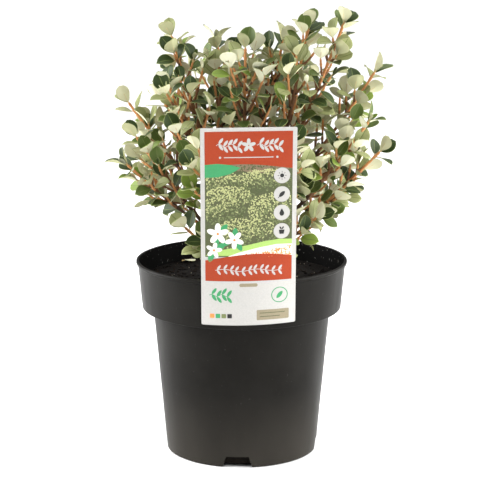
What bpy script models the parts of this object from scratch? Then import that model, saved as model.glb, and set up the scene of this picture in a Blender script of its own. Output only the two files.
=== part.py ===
# Potted correa: a moulded nursery pot, its potting mix, a care card hooked over
# the lip, and a young shrub of many stems that fan out from a short foot.
# Sizes are in millimetres and every mesh is made in metres.
# +Z is up, the card faces -Y, and the origin is the centre of the pot's underside.

import math
import random

import bmesh
import bpy
import numpy as np
from mathutils import Matrix, Vector
from mathutils.bvhtree import BVHTree

MM = 0.001
GAP = 0.3                       # clear space between pieces that touch

# pot
POT_SIDES = 36
POT_WALL = 1.8
POT_FLOOR = 2.4
BASE_RADIUS = 62.7
BODY_TOP_RADIUS = 73.7
COLLAR_BOTTOM = 120.7
COLLAR_BOTTOM_RADIUS = 82.6
COLLAR_TOP = 157.4
COLLAR_TOP_RADIUS = 86.0
LIP_RADIUS = 87.5
LIP_WIDTH = 2.6
POT_HEIGHT = 160.8
EDGE_CHAMFER = 0.8

# drainage notches at the foot of the wall
NOTCH_COUNT = 4
NOTCH_WIDTH = 23.0
NOTCH_TOP_WIDTH = 15.6
NOTCH_HEIGHT = 6.8
NOTCH_DEPTH = 11.0

# potting mix
MIX_TOP = 146.0

# care card
CARD_WIDTH = 74.5
CARD_BOTTOM = 125.0
CARD_TOP = 286.0
CARD_THICKNESS = 0.6
CARD_CENTRE_X = 5.3
CARD_ROLL = math.radians(0.9)   # its right side stands a little higher
CARD_LEAN = 0.127               # forward reach for each unit of height
CARD_BOW = 8.0                  # depth of its curve at the foot, half a card from the middle
CARD_COLUMNS = 6
CARD_ROWS = 4
TONGUE_WIDTH = 24.0
TONGUE_DROP = 12.5
TONGUE_THICKNESS = 0.7

# foot of the shrub
TRUNK_TOP = 171.0
TRUNK_SIDES = 10
TRUNK_FLARE = 7.4
TRUNK_RADIUS = 5.2
TRUNK_TOP_RADIUS = 4.3
TRUNK_LEAN = Vector((0.06, 0.02, 1.0))

# stems
BOUGH_SIDES = 6
BOUGH_RINGS = 5
STEM_TIP_RADIUS = 1.1
PATH_STEPS = 32

# leaves and twigs, a little larger than life so that fewer fill the crown
LEAF_LENGTH = 18.0
LEAF_WIDTH = 14.0
LEAF_THICKNESS = 1.0
LEAF_ROOT_SINK = 0.3
NODE_SPACING = 14.5
TWIG_SPACING = 13.0
SHOOT_REACH = 16.0              # side shoots grow longer down the leader, up to a limit
SHOOT_GAIN = 5.0
SHOOT_LIMIT = 40.0
SHOOT_SHARES = (1.0, 0.75, 0.55)
LEAF_SWINGS = (0.0, 0.5, -0.5)
TWIG_RADII = (1.0, 0.9, 0.75)
TWIG_SIDES = 3
STEM_RINGS = 4
STEM_SIDES = 4
SPACE_MARGIN = 0.7              # how far a leaf keeps inside its own mass's space
LIMB_CLEARANCE = 0.7

# Each limb: parent, place on it, tip of its leader, sag of its curve, share of the
# path that is bare bough, and its radius at the root and where it enters its mass.
# The place is a height on the trunk, or a share of the parent's path.
LIMBS = {
    "left_low": ("trunk", 155.0, (-85, -22, 266), 9, 0.40, 2.3, 1.7),
    "left_mid": ("trunk", 161.0, (-59, -22, 309), 9, 0.40, 2.3, 1.8),
    "left_high": ("trunk", 166.5, (-57, 2, 345), 12, 0.40, 2.6, 2.0),
    "centre": ("trunk", 169.0, (3, -14, 337), 0, 0.36, 2.4, 1.8),
    "right_high": ("trunk", 166.0, (82, -14, 357), 12, 0.38, 2.6, 1.9),
    "right_mid": ("trunk", 160.0, (102, -26, 279), 14, 0.38, 2.3, 1.7),
    "right_low": ("trunk", 154.0, (113, -4, 251), 9, 0.38, 2.2, 1.6),
    "back_left": ("trunk", 163.0, (-54, 64, 293), 10, 0.38, 2.3, 1.7),
    "back_mid": ("trunk", 157.0, (-2, 84, 300), 12, 0.38, 2.3, 1.7),
    "back_right": ("trunk", 163.5, (56, 66, 300), 10, 0.38, 2.3, 1.7),
    "front_left": ("trunk", 158.0, (-34, -60, 262), 10, 0.38, 2.2, 1.6),
    "front_right": ("trunk", 157.5, (40, -64, 268), 10, 0.38, 2.2, 1.6),
    "left_side": ("left_mid", 0.24, (-93, 14, 289), 6, 0.34, 1.8, 1.5),
    "left_inner": ("left_high", 0.26, (-20, 26, 338), 4, 0.30, 1.9, 1.5),
    "right_inner": ("centre", 0.24, (34, 20, 339), 6, 0.30, 1.9, 1.5),
    "right_top": ("right_high", 0.30, (54, -4, 354), 2, 0.26, 1.8, 1.5),
    "right_side": ("right_high", 0.20, (109, 14, 314), 14, 0.34, 1.9, 1.5),
    "back_left_low": ("back_left", 0.22, (-86, 50, 236), 6, 0.34, 1.7, 1.4),
    "back_right_low": ("back_right", 0.22, (92, 50, 242), 6, 0.34, 1.7, 1.4),
    "back_inner": ("back_right", 0.22, (22, 50, 318), 4, 0.32, 1.8, 1.5),
    "left_low_side": ("left_low", 0.30, (-92, -32, 245), 4, 0.30, 1.6, 1.3),
    "right_low_side": ("right_low", 0.26, (84, -28, 227), 2, 0.30, 1.6, 1.3),
    "low_left": ("trunk", 151.5, (-46, -34, 194), 4, 0.34, 1.6, 1.3),
    "low_right": ("trunk", 151.0, (60, -40, 203), 4, 0.36, 1.6, 1.3),
}
SEEDS = {name: 11 + 7 * index for index, name in enumerate(LIMBS)}


def clear_scene():
    for item in list(bpy.data.objects):
        bpy.data.objects.remove(item, do_unlink=True)


def make_material(name, colour, roughness):
    material = bpy.data.materials.new(name)
    material.use_nodes = True
    shader = material.node_tree.nodes["Principled BSDF"]
    shader.inputs["Base Color"].default_value = (*colour, 1.0)
    shader.inputs["Roughness"].default_value = roughness
    shader.inputs["Metallic"].default_value = 0.0
    return material


def make_object(name, points, faces, material=None):
    mesh = bpy.data.meshes.new(name)
    mesh.from_pydata([Vector(point) * MM for point in points], [], faces)
    mesh.validate()
    if material:
        mesh.materials.append(material)
    item = bpy.data.objects.new(name, mesh)
    bpy.context.scene.collection.objects.link(item)
    return item


def smooth_shade(item, angle=35.0):
    item.data.shade_smooth()
    item.data.set_sharp_from_angle(angle=math.radians(angle))


# A closed outline of (radius, height) points turned about the Z axis.
# The outline runs up the outside and down the inside, and starts and ends on the axis.
def turned_solid(name, outline, sides, material):
    points = []
    rings = []
    for radius, height in outline:
        if radius == 0:
            rings.append([len(points)] * sides)
            points.append((0.0, 0.0, height))
            continue
        ring = []
        for side in range(sides):
            angle = 2 * math.pi * (side + 0.5) / sides
            ring.append(len(points))
            points.append((radius * math.cos(angle), radius * math.sin(angle), height))
        rings.append(ring)
    faces = []
    for lower, upper in zip(rings, rings[1:]):
        for side in range(sides):
            after = (side + 1) % sides
            corners = [lower[side], lower[after], upper[after], upper[side]]
            faces.append(list(dict.fromkeys(corners)))
    return make_object(name, points, faces, material)


# The two directions across a path's tangent, carried along without twist.
def path_frames(path):
    frames = []
    across = None
    for index, point in enumerate(path):
        before = path[max(index - 1, 0)]
        after = path[min(index + 1, len(path) - 1)]
        tangent = (after - before).normalized()
        if across is None:
            across = tangent.orthogonal().normalized()
        across = (across - tangent * across.dot(tangent)).normalized()
        frames.append((point, tangent, across, tangent.cross(across)))
    return frames


def tube_shape(path, radii, sides):
    points = []
    for (centre, _, across, beside), radius in zip(path_frames(path), radii):
        for side in range(sides):
            angle = 2 * math.pi * side / sides
            offset = across * math.cos(angle) + beside * math.sin(angle)
            points.append(centre + offset * radius)
    faces = [list(range(sides))[::-1]]
    for ring in range(len(path) - 1):
        for side in range(sides):
            after = (side + 1) % sides
            low = ring * sides
            high = low + sides
            faces.append([low + side, low + after, high + after, high + side])
    last = (len(path) - 1) * sides
    faces.append([last + side for side in range(sides)])
    return points, faces


def make_tube(name, path, radii, sides, material=None):
    points, faces = tube_shape(path, radii, sides)
    return make_object(name, points, faces, material)


def apply_modifiers(item):
    graph = bpy.context.evaluated_depsgraph_get()
    mesh = bpy.data.meshes.new_from_object(item.evaluated_get(graph))
    item.modifiers.clear()
    item.data = mesh


# Keeps the largest closed shell: a sealed hollow is filled and a loose scrap dropped.
def keep_main_shell(item):
    body = bmesh.new()
    body.from_mesh(item.data)
    unseen = set(body.verts)
    shells = []
    while unseen:
        start = unseen.pop()
        shell = {start}
        edge_of_shell = [start]
        while edge_of_shell:
            vertex = edge_of_shell.pop()
            for edge in vertex.link_edges:
                other = edge.other_vert(vertex)
                if other in unseen:
                    unseen.discard(other)
                    shell.add(other)
                    edge_of_shell.append(other)
        shells.append(shell)
    shells.sort(key=len, reverse=True)
    scrap = [vertex for shell in shells[1:] for vertex in shell]
    bmesh.ops.delete(body, geom=scrap, context="VERTS")
    body.to_mesh(item.data)
    body.free()


def cut_away(item, cutters):
    for cutter in cutters:
        cutter.hide_render = True
        cutter.display_type = "WIRE"
        modifier = item.modifiers.new("cut", "BOOLEAN")
        modifier.operation = "DIFFERENCE"
        modifier.solver = "EXACT"
        modifier.object = cutter
    apply_modifiers(item)
    for cutter in cutters:
        bpy.data.objects.remove(cutter, do_unlink=True)


# Pot

def collar_inner_radius(height):
    low = COLLAR_BOTTOM_RADIUS - POT_WALL
    high = COLLAR_TOP_RADIUS - POT_WALL
    ledge = COLLAR_BOTTOM + POT_WALL
    return low + (high - low) * (height - ledge) / (COLLAR_TOP - ledge)


def make_pot(material):
    ledge = COLLAR_BOTTOM + POT_WALL
    outline = [
        (0, 0),
        (BASE_RADIUS - EDGE_CHAMFER, 0),
        (BASE_RADIUS, EDGE_CHAMFER),
        (BODY_TOP_RADIUS, COLLAR_BOTTOM),
        (COLLAR_BOTTOM_RADIUS - EDGE_CHAMFER, COLLAR_BOTTOM),
        (COLLAR_BOTTOM_RADIUS, COLLAR_BOTTOM + EDGE_CHAMFER),
        (COLLAR_TOP_RADIUS, COLLAR_TOP),
        (LIP_RADIUS, COLLAR_TOP + 1.2),
        (LIP_RADIUS, POT_HEIGHT - EDGE_CHAMFER),
        (LIP_RADIUS - EDGE_CHAMFER, POT_HEIGHT),
        (LIP_RADIUS - LIP_WIDTH, POT_HEIGHT),
        (collar_inner_radius(COLLAR_TOP), COLLAR_TOP),
        (collar_inner_radius(ledge), ledge),
        (BODY_TOP_RADIUS - POT_WALL, ledge),
        (BASE_RADIUS - POT_WALL, POT_FLOOR),
        (0, POT_FLOOR),
    ]
    pot = turned_solid("pot", outline, POT_SIDES, material)
    notches = []
    for index in range(NOTCH_COUNT):
        half_foot = NOTCH_WIDTH / 2
        half_top = NOTCH_TOP_WIDTH / 2
        section = [(-half_foot, -2.0), (half_foot, -2.0), (half_top, NOTCH_HEIGHT), (-half_top, NOTCH_HEIGHT)]
        inner = BASE_RADIUS - NOTCH_DEPTH
        outer = BASE_RADIUS + 6.0
        points = [(x, -inner, z) for x, z in section]
        points += [(x, -outer, z) for x, z in section]
        faces = [[0, 1, 2, 3], [7, 6, 5, 4], [1, 0, 4, 5], [2, 1, 5, 6], [3, 2, 6, 7], [0, 3, 7, 4]]
        notch = make_object("notch", points, [face[::-1] for face in faces])
        turn = Matrix.Rotation(2 * math.pi * index / NOTCH_COUNT, 4, "Z")
        notch.data.transform(turn)
        notches.append(notch)
    cut_away(pot, notches)
    smooth_shade(pot)


def make_potting_mix(material):
    ledge = COLLAR_BOTTOM + POT_WALL
    outline = [
        (0, POT_FLOOR + GAP),
        (BASE_RADIUS - POT_WALL - 2 * GAP, POT_FLOOR + GAP),
        (BODY_TOP_RADIUS - POT_WALL - 2 * GAP, ledge + GAP),
        (collar_inner_radius(ledge) - 2 * GAP, ledge + GAP),
        (collar_inner_radius(MIX_TOP) - 2 * GAP, MIX_TOP),
        (0, MIX_TOP),
    ]
    turned_solid("potting_mix", outline, POT_SIDES, material)


# Care card

# How far the card's back stands from the pot's axis at a height.
def card_back(height):
    lip_contact = LIP_RADIUS + GAP
    return lip_contact + (height - POT_HEIGHT) * CARD_LEAN


# The card curves round the collar at its foot and is flat at its top.
def card_bow(x, height):
    share = (height - CARD_BOTTOM) / (CARD_TOP - CARD_BOTTOM)
    return CARD_BOW * (1 - share) * (2 * x / CARD_WIDTH) ** 2


def card_point(across, height, depth):
    x = CARD_CENTRE_X + across
    y = -card_back(height) - depth + card_bow(x, height)
    return (x, y, height + across * math.sin(CARD_ROLL))


def make_card(material):
    points = []
    for depth in (0.0, CARD_THICKNESS):
        for row in range(CARD_ROWS + 1):
            height = CARD_BOTTOM + (CARD_TOP - CARD_BOTTOM) * row / CARD_ROWS
            for column in range(CARD_COLUMNS + 1):
                across = CARD_WIDTH * (column / CARD_COLUMNS - 0.5)
                points.append(card_point(across, height, depth))
    width = CARD_COLUMNS + 1
    layer = width * (CARD_ROWS + 1)
    faces = []
    for row in range(CARD_ROWS):
        for column in range(CARD_COLUMNS):
            corner = row * width + column
            back = [corner, corner + width, corner + width + 1, corner + 1]
            faces.append(back)
            faces.append([index + layer for index in back[::-1]])
    rim = list(range(width))
    rim += [row * width + width - 1 for row in range(1, CARD_ROWS + 1)]
    rim += [CARD_ROWS * width + column for column in range(width - 2, -1, -1)]
    rim += [row * width for row in range(CARD_ROWS - 1, 0, -1)]
    for first, second in zip(rim, rim[1:] + rim[:1]):
        faces.append([first, second, second + layer, first + layer])
    card = make_object("care_card", points, faces, material)
    outward_faces(card)


# A folded tongue from the card's back over the lip and down inside the wall.
def make_tongue(material):
    far_side = CARD_CENTRE_X + TONGUE_WIDTH / 2
    top = POT_HEIGHT + GAP
    low = top - TONGUE_DROP
    thick = TONGUE_THICKNESS
    front = card_back(top) - card_bow(far_side, top) - GAP
    lip_inside = math.sqrt((collar_inner_radius(COLLAR_TOP) - 2 * GAP) ** 2 - far_side ** 2)
    wall_inside = math.sqrt((collar_inner_radius(low) - 2 * GAP) ** 2 - far_side ** 2)
    section = [
        (front, top),
        (front, top + thick),
        (lip_inside - thick, top + thick),
        (wall_inside - thick, low),
        (wall_inside, low),
        (lip_inside, top),
    ]
    half = TONGUE_WIDTH / 2
    points = [(CARD_CENTRE_X - half, -y, z) for y, z in section]
    points += [(CARD_CENTRE_X + half, -y, z) for y, z in section]
    count = len(section)
    faces = [list(range(count)), [count + index for index in range(count)][::-1]]
    for first in range(count):
        second = (first + 1) % count
        faces.append([second, first, count + first, count + second])
    tongue = make_object("card_tongue", points, faces, material)
    outward_faces(tongue)


def outward_faces(item):
    body = bmesh.new()
    body.from_mesh(item.data)
    bmesh.ops.recalc_face_normals(body, faces=body.faces)
    if body.calc_volume(signed=True) < 0:
        bmesh.ops.reverse_faces(body, faces=body.faces)
    body.to_mesh(item.data)
    body.free()


# Trunk and boughs

def trunk_axis(height):
    return TRUNK_LEAN * (height - MIX_TOP) + Vector((0, 0, MIX_TOP))


def make_trunk_tube(name, extra, material=None):
    foot = MIX_TOP + GAP
    levels = [
        (foot, TRUNK_FLARE),
        (foot + 2.5, TRUNK_RADIUS + 0.8),
        (foot + 7.0, TRUNK_RADIUS),
        (TRUNK_TOP - 2.0, TRUNK_TOP_RADIUS),
        (TRUNK_TOP, TRUNK_TOP_RADIUS * 0.55),
    ]
    path = []
    for index, (height, _) in enumerate(levels):
        stretch = extra * (index == len(levels) - 1)
        path.append(trunk_axis(height + stretch))
    radii = [radius + extra for _, radius in levels]
    points = []
    for centre, radius in zip(path, radii):
        for side in range(TRUNK_SIDES):
            angle = 2 * math.pi * side / TRUNK_SIDES
            points.append(centre + Vector((math.cos(angle), math.sin(angle), 0)) * radius)
    faces = [list(range(TRUNK_SIDES))[::-1]]
    for ring in range(len(levels) - 1):
        for side in range(TRUNK_SIDES):
            after = (side + 1) % TRUNK_SIDES
            low = ring * TRUNK_SIDES
            high = low + TRUNK_SIDES
            faces.append([low + side, low + after, high + after, high + side])
    last = (len(levels) - 1) * TRUNK_SIDES
    faces.append([last + side for side in range(TRUNK_SIDES)])
    return make_object(name, points, faces, material)


# The whole path of a limb and its leader, from its parent's middle to its tip.
def limb_path(name, paths):
    parent, place, tip, sag = LIMBS[name][:4]
    if parent == "trunk":
        root = trunk_axis(place)
    else:
        root = path_point(paths[parent], place)
    tip = Vector(tip)
    middle = (root + tip) / 2 - Vector((0, 0, sag))
    path = []
    for step in range(PATH_STEPS + 1):
        share = step / PATH_STEPS
        path.append(root * (1 - share) ** 2 + middle * 2 * share * (1 - share) + tip * share ** 2)
    return path


def path_point(path, share):
    place = share * (len(path) - 1)
    index = min(int(place), len(path) - 2)
    return path[index].lerp(path[index + 1], place - index)


def path_length(path):
    return sum((after - before).length for before, after in zip(path, path[1:]))


def bough_radius(name, share):
    _, _, _, _, bare, thick, thin = LIMBS[name]
    return thick + (thin - thick) * share / bare


def make_bough(name, paths, tubes, material):
    parent, _, _, _, bare = LIMBS[name][:5]
    shares = [bare * ring / BOUGH_RINGS for ring in range(BOUGH_RINGS + 1)]
    path = [path_point(paths[name], share) for share in shares]
    radii = [bough_radius(name, share) for share in shares]
    bough = make_tube("bough_" + name, path, radii, BOUGH_SIDES, material)
    cutters = []
    if parent == "trunk":
        cutters.append(make_trunk_tube("cutter", GAP))
    for other, (other_path, other_radii) in tubes.items():
        if other == parent or tubes_meet(path, radii, other_path, other_radii):
            grown = [radius + 1.25 * GAP for radius in other_radii]
            cutters.append(make_tube("cutter", other_path, grown, BOUGH_SIDES))
    cut_away(bough, cutters)
    keep_main_shell(bough)
    smooth_shade(bough, 50.0)
    tubes[name] = (path, radii)


def tubes_meet(path, radii, other_path, other_radii):
    for share in range(21):
        point = path_point(path, share / 20)
        for other_share in range(21):
            other = path_point(other_path, other_share / 20)
            if (point - other).length < max(radii) + max(other_radii) + 2 * GAP:
                return True
    return False


# Spaces of the masses

# The leader of a mass: the rest of the limb's path past its bough.
def leader_path(name, paths):
    bare = LIMBS[name][4]
    start = bare + GAP / path_length(paths[name])
    steps = PATH_STEPS
    return [path_point(paths[name], start + (1 - start) * step / steps) for step in range(steps + 1)]


def nearest(points, cloud):
    return np.sqrt(((points[:, None, :] - cloud[None, :, :]) ** 2).sum(2)).min(1)


# True where every point keeps to the mass's own space and clear of all hard pieces.
def keeps_clear(points, name, leaders, limbs):
    points = np.array([tuple(point) for point in points])
    own = nearest(points, leaders[name])
    for other, cloud in leaders.items():
        if other != name and (own + SPACE_MARGIN > nearest(points, cloud) - SPACE_MARGIN).any():
            return False
    for cloud, radii in limbs.values():
        reach = np.sqrt(((points[:, None, :] - cloud[None, :, :]) ** 2).sum(2)) - radii[None, :]
        if (reach.min(1) < LIMB_CLEARANCE).any():
            return False
    for x, y, z in points:
        if z < MIX_TOP + 2.0:
            return False
        if z < POT_HEIGHT + 2.0 and math.hypot(x, y) > collar_inner_radius(MIX_TOP) - 3.0:
            return False
        if abs(x - CARD_CENTRE_X) < CARD_WIDTH / 2 + 4.0 and z < CARD_TOP + 4.0:
            if y < -card_back(POT_HEIGHT) + 6.0 + (z < POT_HEIGHT + 8.0) * 6.0:
                return False
    return True


# Leaves and twigs

# A thin pointed-root plate of ten faces: five rim points, one above and one below.
def make_leaf(root, axis, upper, length, width):
    side = upper.cross(axis).normalized()
    face = axis.cross(side).normalized()
    middle = root + axis * 0.32 * length
    cup = face * 0.10 * length
    points = [
        root - axis * LEAF_ROOT_SINK,
        root + axis * 0.50 * length - side * 0.50 * width + cup,
        root + axis * 0.96 * length - side * 0.26 * width + cup * 0.6,
        root + axis * 0.96 * length + side * 0.26 * width + cup * 0.6,
        root + axis * 0.50 * length + side * 0.50 * width + cup,
        middle + face * 0.5 * LEAF_THICKNESS,
        middle - face * 0.5 * LEAF_THICKNESS,
    ]
    faces = []
    for first in range(5):
        second = (first + 1) % 5
        faces.append([first, second, 5])
        faces.append([second, first, 6])
    return points, faces


def leaf_test_points(points):
    tests = list(points[1:])
    for first in range(1, 5):
        second = first + 1 if first < 4 else 1
        tests.append((points[first] + points[second]) / 2)
    tests.append((points[0] + points[1]) / 2)
    tests.append((points[0] + points[4]) / 2)
    return tests


# The opposite directions of a pair at a node, spread from the shoot's axis.
def pair_directions(tangent, turn, spread):
    across = tangent.orthogonal().normalized()
    across = Matrix.Rotation(turn, 3, tangent) @ across
    for sign in (1, -1):
        yield (tangent * math.cos(spread) + across * sign * math.sin(spread)).normalized()


# Places of a leaf pair every node spacing, counted back from the tip of a path.
def shoot_nodes(path, spacing):
    length = path_length(path)
    count = max(1, int((length - 4.0) / spacing) + 1)
    for index in range(count):
        share = 1 - (index * spacing + 0.8) / length
        place = path_point(path, share)
        ahead = path_point(path, min(share + 0.03, 1.0))
        behind = path_point(path, max(share - 0.03, 0.0))
        yield index, place, (ahead - behind).normalized()


# One shoot's leaves: an erect pair at the tip, and wider pairs turned a quarter below.
def leaf_pairs(path, spacing, turn, chance, bare_nodes=()):
    for index, place, tangent in shoot_nodes(path, spacing):
        if index in bare_nodes:
            continue
        spread = math.radians(28 if index == 0 else 52 + chance.uniform(-6, 8))
        size = chance.uniform(0.86, 1.06)
        for axis in pair_directions(tangent, turn + index * math.pi / 2, spread):
            tilt = Vector((chance.uniform(-0.3, 0.3), chance.uniform(-0.3, 0.3), 0.25))
            yield index, place, tangent, axis, tilt, size


# The leaf at a node, and then the same leaf swung round its shoot to find room.
def leaf_choices(place, tangent, axis, tilt, size):
    for swing in LEAF_SWINGS:
        turned = Matrix.Rotation(swing, 3, tangent) @ axis
        upper = (tangent - turned * tangent.dot(turned)).normalized()
        upper = (upper + tilt).normalized()
        yield make_leaf(place, turned, upper, LEAF_LENGTH * size, LEAF_WIDTH * size)


# A side shoot leaves its node at an angle and curves up.
def side_shoot(root, axis, length):
    lift = Vector((0, 0, 1))
    middle = root + axis * length * 0.5
    tip = root + axis * length * 0.82 + lift * length * 0.34
    return [root, middle, tip]


# The twigs and leaves of one mass. A twig or leaf that would leave the mass's space,
# touch a hard piece or cross another leaf or twig is skipped.
def grow_mass(name, leaders, limbs, leader):
    chance = random.Random(SEEDS[name])
    turn = chance.uniform(0, math.pi)
    leaves = []
    trees = []

    def crosses(shape, own):
        tree = BVHTree.FromPolygons(*shape)
        for other, key in trees:
            if key not in own and tree.overlap(other):
                return True
        return False

    def add_leaves(path, key, spacing, turn, skip=()):
        count = len(leaves)
        for node, place, tangent, axis, tilt, size in leaf_pairs(path, spacing, turn, chance, skip):
            for shape in leaf_choices(place, tangent, axis, tilt, size):
                if not keeps_clear(leaf_test_points(shape[0]), name, leaders, limbs):
                    continue
                if not crosses(shape, (key, (key, node))):
                    leaves.append(shape)
                    trees.append((BVHTree.FromPolygons(*shape), (key, node)))
                    break
        return len(leaves) - count

    thin = LIMBS[name][6]
    radii = [thin + (STEM_TIP_RADIUS - thin) * step / STEM_RINGS for step in range(STEM_RINGS + 1)]
    path = [path_point(leader, step / STEM_RINGS) for step in range(STEM_RINGS + 1)]
    stem = tube_shape(path, radii, STEM_SIDES)
    trees.append((BVHTree.FromPolygons(*stem), "leader"))
    twigs = []
    forked = []
    for index, place, tangent in shoot_nodes(leader, NODE_SPACING):
        if index < 2:
            continue
        reach = min(SHOOT_REACH + SHOOT_GAIN * index, SHOOT_LIMIT)
        spread = math.radians(46 + chance.uniform(-6, 6))
        grown = 0
        for axis in pair_directions(tangent, turn + index * math.pi / 2, spread):
            size = chance.uniform(0.85, 1.15)
            for share in SHOOT_SHARES:
                path = side_shoot(place, axis, reach * size * share)
                shape = tube_shape(path, TWIG_RADII, TWIG_SIDES)
                if keeps_clear(path[1:], name, leaders, limbs) and not crosses(shape, ("leader",)):
                    trees.append((BVHTree.FromPolygons(*shape), len(twigs)))
                    twigs.append((path, shape))
                    grown += 1
                    break
        if grown == 2:
            forked.append(index)
    add_leaves(leader, "leader", NODE_SPACING, turn, forked)
    leafy = []
    for key, (path, shape) in enumerate(twigs):
        if add_leaves(path, key, TWIG_SPACING, chance.uniform(0, math.pi)):
            leafy.append(shape)
    return stem, leafy, leaves


def make_mass(name, paths, leaders, limbs, material):
    stem, twigs, leaves = grow_mass(name, leaders, limbs, leader_path(name, paths))
    mass = make_object("foliage_" + name, *stem, material)
    parts = bpy.data.collections.new("parts")
    bpy.context.scene.collection.children.link(parts)
    for points, faces in twigs + leaves:
        item = make_object("twig", points, faces)
        bpy.context.scene.collection.objects.unlink(item)
        parts.objects.link(item)
    modifier = mass.modifiers.new("fuse", "BOOLEAN")
    modifier.operation = "UNION"
    modifier.operand_type = "COLLECTION"
    modifier.solver = "EXACT"
    modifier.collection = parts
    apply_modifiers(mass)
    for item in list(parts.objects):
        bpy.data.objects.remove(item, do_unlink=True)
    bpy.data.collections.remove(parts)
    mass.data.materials.clear()
    mass.data.materials.append(material)
    keep_main_shell(mass)
    return len(twigs), len(leaves)


def make_shrub(bark, leaf):
    make_trunk_tube("trunk", 0.0, bark)
    smooth_shade(bpy.data.objects["trunk"], 50.0)
    paths = {}
    for name in LIMBS:
        paths[name] = limb_path(name, paths)
    tubes = {}
    for name in LIMBS:
        make_bough(name, paths, tubes, bark)
    leaders = {}
    for name in LIMBS:
        leaders[name] = np.array([tuple(point) for point in leader_path(name, paths)])
    limbs = {}
    for name in LIMBS:
        bare = LIMBS[name][4]
        shares = [bare * step / 40 for step in range(41)]
        cloud = np.array([tuple(path_point(paths[name], share)) for share in shares])
        limbs[name] = (cloud, np.array([bough_radius(name, share) for share in shares]))
    heights = np.linspace(MIX_TOP, TRUNK_TOP, 12)
    cloud = np.array([tuple(trunk_axis(height)) for height in heights])
    limbs["trunk"] = (cloud, np.full(len(heights), TRUNK_FLARE))
    for name in LIMBS:
        twigs, leaves = make_mass(name, paths, leaders, limbs, leaf)
        print(name, "twigs", twigs, "leaves", leaves)


def main():
    clear_scene()
    plastic = make_material("pot plastic", (0.022, 0.021, 0.02), 0.42)
    mix = make_material("potting mix", (0.02, 0.015, 0.011), 0.95)
    card = make_material("card", (0.86, 0.85, 0.82), 0.4)
    bark = make_material("bark", (0.36, 0.16, 0.07), 0.85)
    leaf = make_material("leaf", (0.33, 0.39, 0.22), 0.7)
    make_pot(plastic)
    make_potting_mix(mix)
    make_card(card)
    make_tongue(card)
    make_shrub(bark, leaf)


main()
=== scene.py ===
import math
import random

import bmesh
import bpy
import numpy as np
from mathutils import Matrix, Vector, noise
from mathutils.bvhtree import BVHTree


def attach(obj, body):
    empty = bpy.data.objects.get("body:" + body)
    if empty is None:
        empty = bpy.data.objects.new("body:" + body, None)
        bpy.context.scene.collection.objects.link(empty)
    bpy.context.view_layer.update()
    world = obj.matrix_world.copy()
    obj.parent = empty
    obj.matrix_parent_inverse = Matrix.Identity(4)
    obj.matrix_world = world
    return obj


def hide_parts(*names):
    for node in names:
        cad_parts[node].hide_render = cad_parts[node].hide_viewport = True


# A potted correa: a nursery pot, its potting mix, a printed care card and a young shrub.
# Sizes are in millimetres, as in the solids' source, and turn to metres when a mesh is made.
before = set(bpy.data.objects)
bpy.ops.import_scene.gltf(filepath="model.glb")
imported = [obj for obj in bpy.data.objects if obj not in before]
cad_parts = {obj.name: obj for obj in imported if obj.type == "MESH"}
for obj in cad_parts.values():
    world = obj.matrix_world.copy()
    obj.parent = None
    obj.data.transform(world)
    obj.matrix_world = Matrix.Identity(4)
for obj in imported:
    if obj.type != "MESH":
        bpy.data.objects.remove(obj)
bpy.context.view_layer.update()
print("frame loaded:", len(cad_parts), "solids")

mm = 0.001
up = Vector((0, 0, 1))


# making meshes

def makePiece(name, points, faces, materials, faceSlots=None, smoothAngle=None):
    mesh = bpy.data.meshes.new(name)
    mesh.from_pydata((np.asarray(points, dtype=float).reshape(-1, 3) * mm).tolist(), [], faces)
    for material in materials:
        mesh.materials.append(material)
    if faceSlots is not None:
        mesh.polygons.foreach_set("material_index", np.asarray(faceSlots, dtype=np.int32))
    mesh.validate()
    if smoothAngle is not None:
        mesh.shade_smooth()
        mesh.set_sharp_from_angle(angle=math.radians(smoothAngle))
    piece = bpy.data.objects.new(name, mesh)
    bpy.context.scene.collection.objects.link(piece)
    return piece


def settle(piece, slot, *nodes):
    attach(piece, "root")
    if nodes:
        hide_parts(*nodes)
    return piece


class MeshSum:
    # gathers many small shapes into one mesh
    def __init__(self):
        self.points = []
        self.faces = []
        self.slots = []

    def add(self, points, faces, slot=0):
        start = len(self.points)
        self.points.extend(tuple(point) for point in points)
        self.faces.extend([start + corner for corner in face] for face in faces)
        if isinstance(slot, int):
            slot = [slot] * len(faces)
        self.slots.extend(slot)

    def make(self, name, materials, smoothAngle=None):
        return makePiece(name, self.points, self.faces, materials, self.slots, smoothAngle)


# materials

def newMaterial(name, colour, roughness, specular=0.5):
    material = bpy.data.materials.new(name)
    material.use_nodes = True
    shader = material.node_tree.nodes["Principled BSDF"]
    shader.inputs["Base Color"].default_value = (*colour, 1.0)
    shader.inputs["Roughness"].default_value = roughness
    shader.inputs["Specular IOR Level"].default_value = specular
    return material, material.node_tree.nodes, material.node_tree.links, shader


def addNode(nodes, kind, **inputs):
    node = nodes.new(kind)
    for key, value in inputs.items():
        node.inputs[key.replace("_", " ")].default_value = value
    return node


def noiseNode(nodes, links, scale, detail=4.0, roughness=0.55, stretch=(1, 1, 1)):
    place = nodes.new("ShaderNodeTexCoord")
    mapping = nodes.new("ShaderNodeMapping")
    mapping.inputs["Scale"].default_value = stretch
    links.new(place.outputs["Object"], mapping.inputs["Vector"])
    texture = addNode(nodes, "ShaderNodeTexNoise", Scale=scale, Detail=detail, Roughness=roughness)
    links.new(mapping.outputs["Vector"], texture.inputs["Vector"])
    return texture.outputs["Fac"]


def rampNode(nodes, links, source, stops):
    ramp = nodes.new("ShaderNodeValToRGB")
    elements = ramp.color_ramp.elements
    while len(elements) < len(stops):
        elements.new(0.5)
    for element, (place, colour) in zip(elements, stops):
        element.position = place
        element.color = (*colour, 1.0) if len(colour) == 3 else colour
    links.new(source, ramp.inputs["Fac"])
    return ramp.outputs["Color"]


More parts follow.
